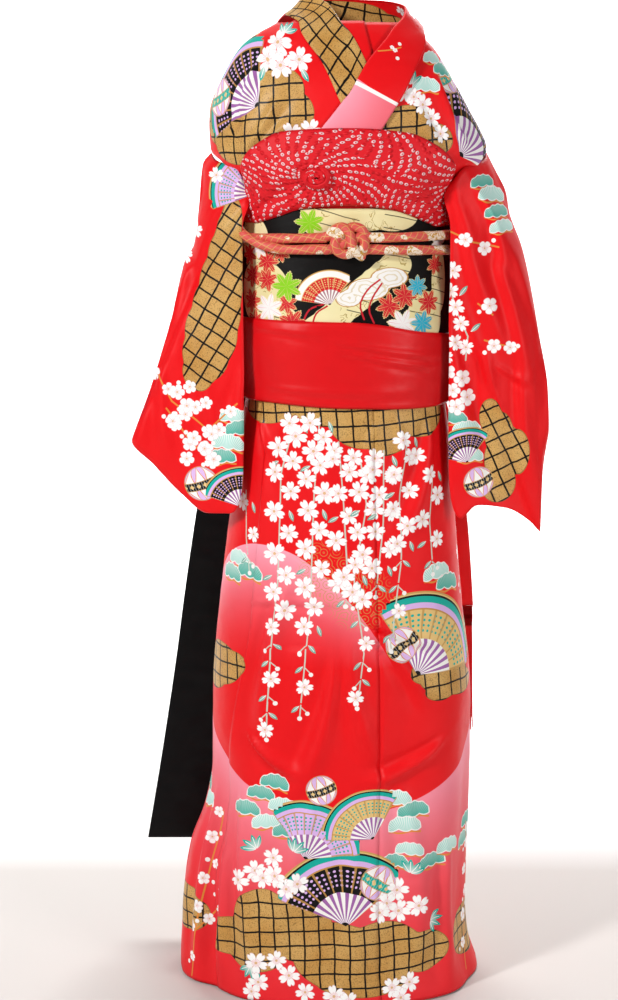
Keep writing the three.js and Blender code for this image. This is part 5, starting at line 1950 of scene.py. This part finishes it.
def make_strip(name, node, rows, crease, material, square=3.0):
    """A hanging end of double cloth: a flat tube, closed at its top and its foot."""
    right, left, depth = columns(rows)
    top, foot = rows[0][0], rows[-1][0]

    def place(u, v):
        z = lerp(top, foot, v)
        turn = 2 * math.pi * u
        c = -np.cos(turn)
        s = -np.sin(turn)
        side = np.sign(c) * np.abs(c) ** 0.62
        x = lerp(right(z), left(z), 0.5 + 0.5 * side)
        half = (STRIP_THICK / 2 - 0.1) * np.abs(s) ** 0.5 * ease(1 - v, -0.004, 0.012)
        return np.stack([x, depth(z) - STRIP_THICK / 2 + np.sign(s) * half + crease(x, z) * np.abs(s), z], -1)

    def chart(u, v):
        z = lerp(top, foot, v)
        return np.abs(u - 0.5) * 2 * (left(z) - right(z)), z

    wide = left(np.array([foot]))[0] - right(np.array([foot]))[0]
    mesh = cloth_mesh(name, 2 * round(wide / square), round((top - foot) / square), place, chart, weld=True)
    reshape(mesh, close_ends)
    return new_piece(name, node, mesh, [material])


FRINGE = {"yarns": 96, "length": 155, "radius": 0.55, "knot_rows": 3, "knot_pitch": 12, "spread": 1.3}


def make_fringe():
    """Loose silk yarns, netted in three rows of small knots below the sash end, then hanging free."""
    rng = np.random.default_rng(3)
    z0, right, left, y = SASH_TAIL_ROWS[-1]
    top = z0 - REST_GAP
    roots = FRINGE["yarns"] // 4
    meshes = []
    pitch = (left - right - 2) / roots
    for i in range(FRINGE["yarns"]):
        column, strand = i // 4, i % 4
        x0 = right + 1 + pitch * (column + 0.5)
        depth = y - STRIP_THICK / 2 + (strand % 2 - 0.5) * 1.6
        down = FRINGE["length"] * rng.uniform(0.86, 0.97)
        points = [(x0 + (strand - 1.5) * 0.3, depth, top)]
        lean = 1 if strand < 2 else -1
        for row in range(1, FRINGE["knot_rows"] + 1):
            swing = lean * pitch / 2 if row % 2 else 0.0
            points.append((x0 + swing, depth, top - row * FRINGE["knot_pitch"]))
        last = points[-1]
        middle = (right + left) / 2
        for share in (0.3, 0.6, 1.0):
            away = (last[0] - middle) * 0.12 * FRINGE["spread"] * share + rng.uniform(-1.2, 1.2) * share
            sway = rng.uniform(-1.5, 1.5) * share
            points.append((last[0] + away, depth + sway, lerp(last[2], top - down, share)))
        meshes.append(tube_mesh(f"yarn_{i}", smooth_route(points, 26), FRINGE["radius"], sides=5))
    mesh = joined("shigoki_fringe_yarns", meshes)
    return new_piece("shigoki_fringe_yarns", "shigoki_fringe", mesh, [SASH_SILK])


# ---------------------------------------------------------------- the room
FLOOR_Z = HEM_Z * MM
SWEEP_STEPS = 59
SWEEP_PROFILE = [(-6.0, 0.0), (-1.0, 0.0), (4.4, 0.0), (5.6, 0.04), (6.2, 0.35), (6.45, 0.9), (6.5, 4.0)]
# name, place, aim, width, power
LAMPS = [
    ("key_light", (-1.9, -1.9, 1.0), (0, 0, -0.5), 0.4, 66),
    ("side_light", (2.1, -2.2, 0.2), (0, 0, -0.5), 1.0, 33),
    ("wall_light", (0.0, 2.6, 3.4), (0, 6.0, -0.3), 3.2, 500),
    ("back_light", (0.9, 2.6, 1.2), (0, 0, -0.4), 0.8, 26),
]
SKY_POWER = 0.22
CAMERA = {"place": (-0.040, -2.40, -0.040), "pitch": -10.65, "lens": 78.1}


def backdrop():
    """A pale floor that curves up into the wall behind."""
    route = smooth_route([(0, y, z) for y, z in SWEEP_PROFILE], SWEEP_STEPS + 1)
    bm = bmesh.new()
    bmesh.ops.create_grid(bm, x_segments=2, y_segments=SWEEP_STEPS, size=0.5)
    for vert in bm.verts:
        y, z = route[round((vert.co.y + 0.5) * SWEEP_STEPS)][1:]
        vert.co = (vert.co.x * 12, y, FLOOR_Z - 0.001 + z)
    mesh = bpy.data.meshes.new("studio_sweep")
    bm.to_mesh(mesh)
    bm.free()
    sweep = bpy.data.objects.new("studio_sweep", mesh)
    bpy.context.scene.collection.objects.link(sweep)
    mesh.polygons.foreach_set("use_smooth", np.ones(len(mesh.polygons), bool))
    loom = Loom("studio_paper", 0.9)
    back = loom.parts(loom.place())[1]
    paper = loom.blend(((back - 0.3) * 6).clamp(), dye("#ccc7c3"), dye("#f8f8f8"))
    mesh.materials.append(loom.finish(paper))


def area_light(name, place, aim, size, power):
    lamp = bpy.data.lights.new(name, "AREA")
    lamp.shape = "DISK"
    lamp.size = size
    lamp.energy = power
    holder = bpy.data.objects.new(name, lamp)
    holder.location = place
    toward = mathutils.Vector(aim) - mathutils.Vector(place)
    holder.rotation_euler = toward.to_track_quat("-Z", "Y").to_euler()
    bpy.context.scene.collection.objects.link(holder)


def light_room():
    for lamp in LAMPS:
        area_light(*lamp)
    world = bpy.data.worlds.new("room")
    bpy.context.scene.world = world
    world.use_nodes = True
    background = world.node_tree.nodes["Background"].inputs
    background[0].default_value = (1, 1, 1, 1)
    background[1].default_value = SKY_POWER
    bpy.context.scene.view_settings.view_transform = "Standard"


def place_camera():
    data = bpy.data.cameras.new("camera")
    data.lens = CAMERA["lens"]
    data.sensor_fit = "VERTICAL"
    data.sensor_height = 36
    holder = bpy.data.objects.new("camera", data)
    holder.location = CAMERA["place"]
    holder.rotation_euler = (math.radians(90 + CAMERA["pitch"]), 0, 0)
    bpy.context.scene.collection.objects.link(holder)
    bpy.context.scene.camera = holder


# ---------------------------------------------------------------- making it all
place_camera()
body = make_body()
collar = make_collar()
sleeve_right = make_sleeve("sleeve_right", right_sleeve_design())
sleeve_left = make_sleeve("sleeve_left", left_sleeve_design())
obi, obiage, shigoki = make_sashes()
cords = make_cords()
cord_knot = make_cord_knot()
rosette = make_scarf_knot()
obi_knot = make_obi_knot()
obi_tail = make_strip("obi_tail_end", "obi_tail", OBI_TAIL_ROWS,
                      lambda x, z: 1.3 * ripple(x * 0.25, z, 15, 4), SATIN)
sash_tail = make_strip("shigoki_tail_end", "shigoki_tail", SASH_TAIL_ROWS,
                       lambda x, z: 0.5 * ripple(x, z * 0.4, 14, 5), SASH_SILK, 2.0)
make_fringe()
backdrop()
light_room()
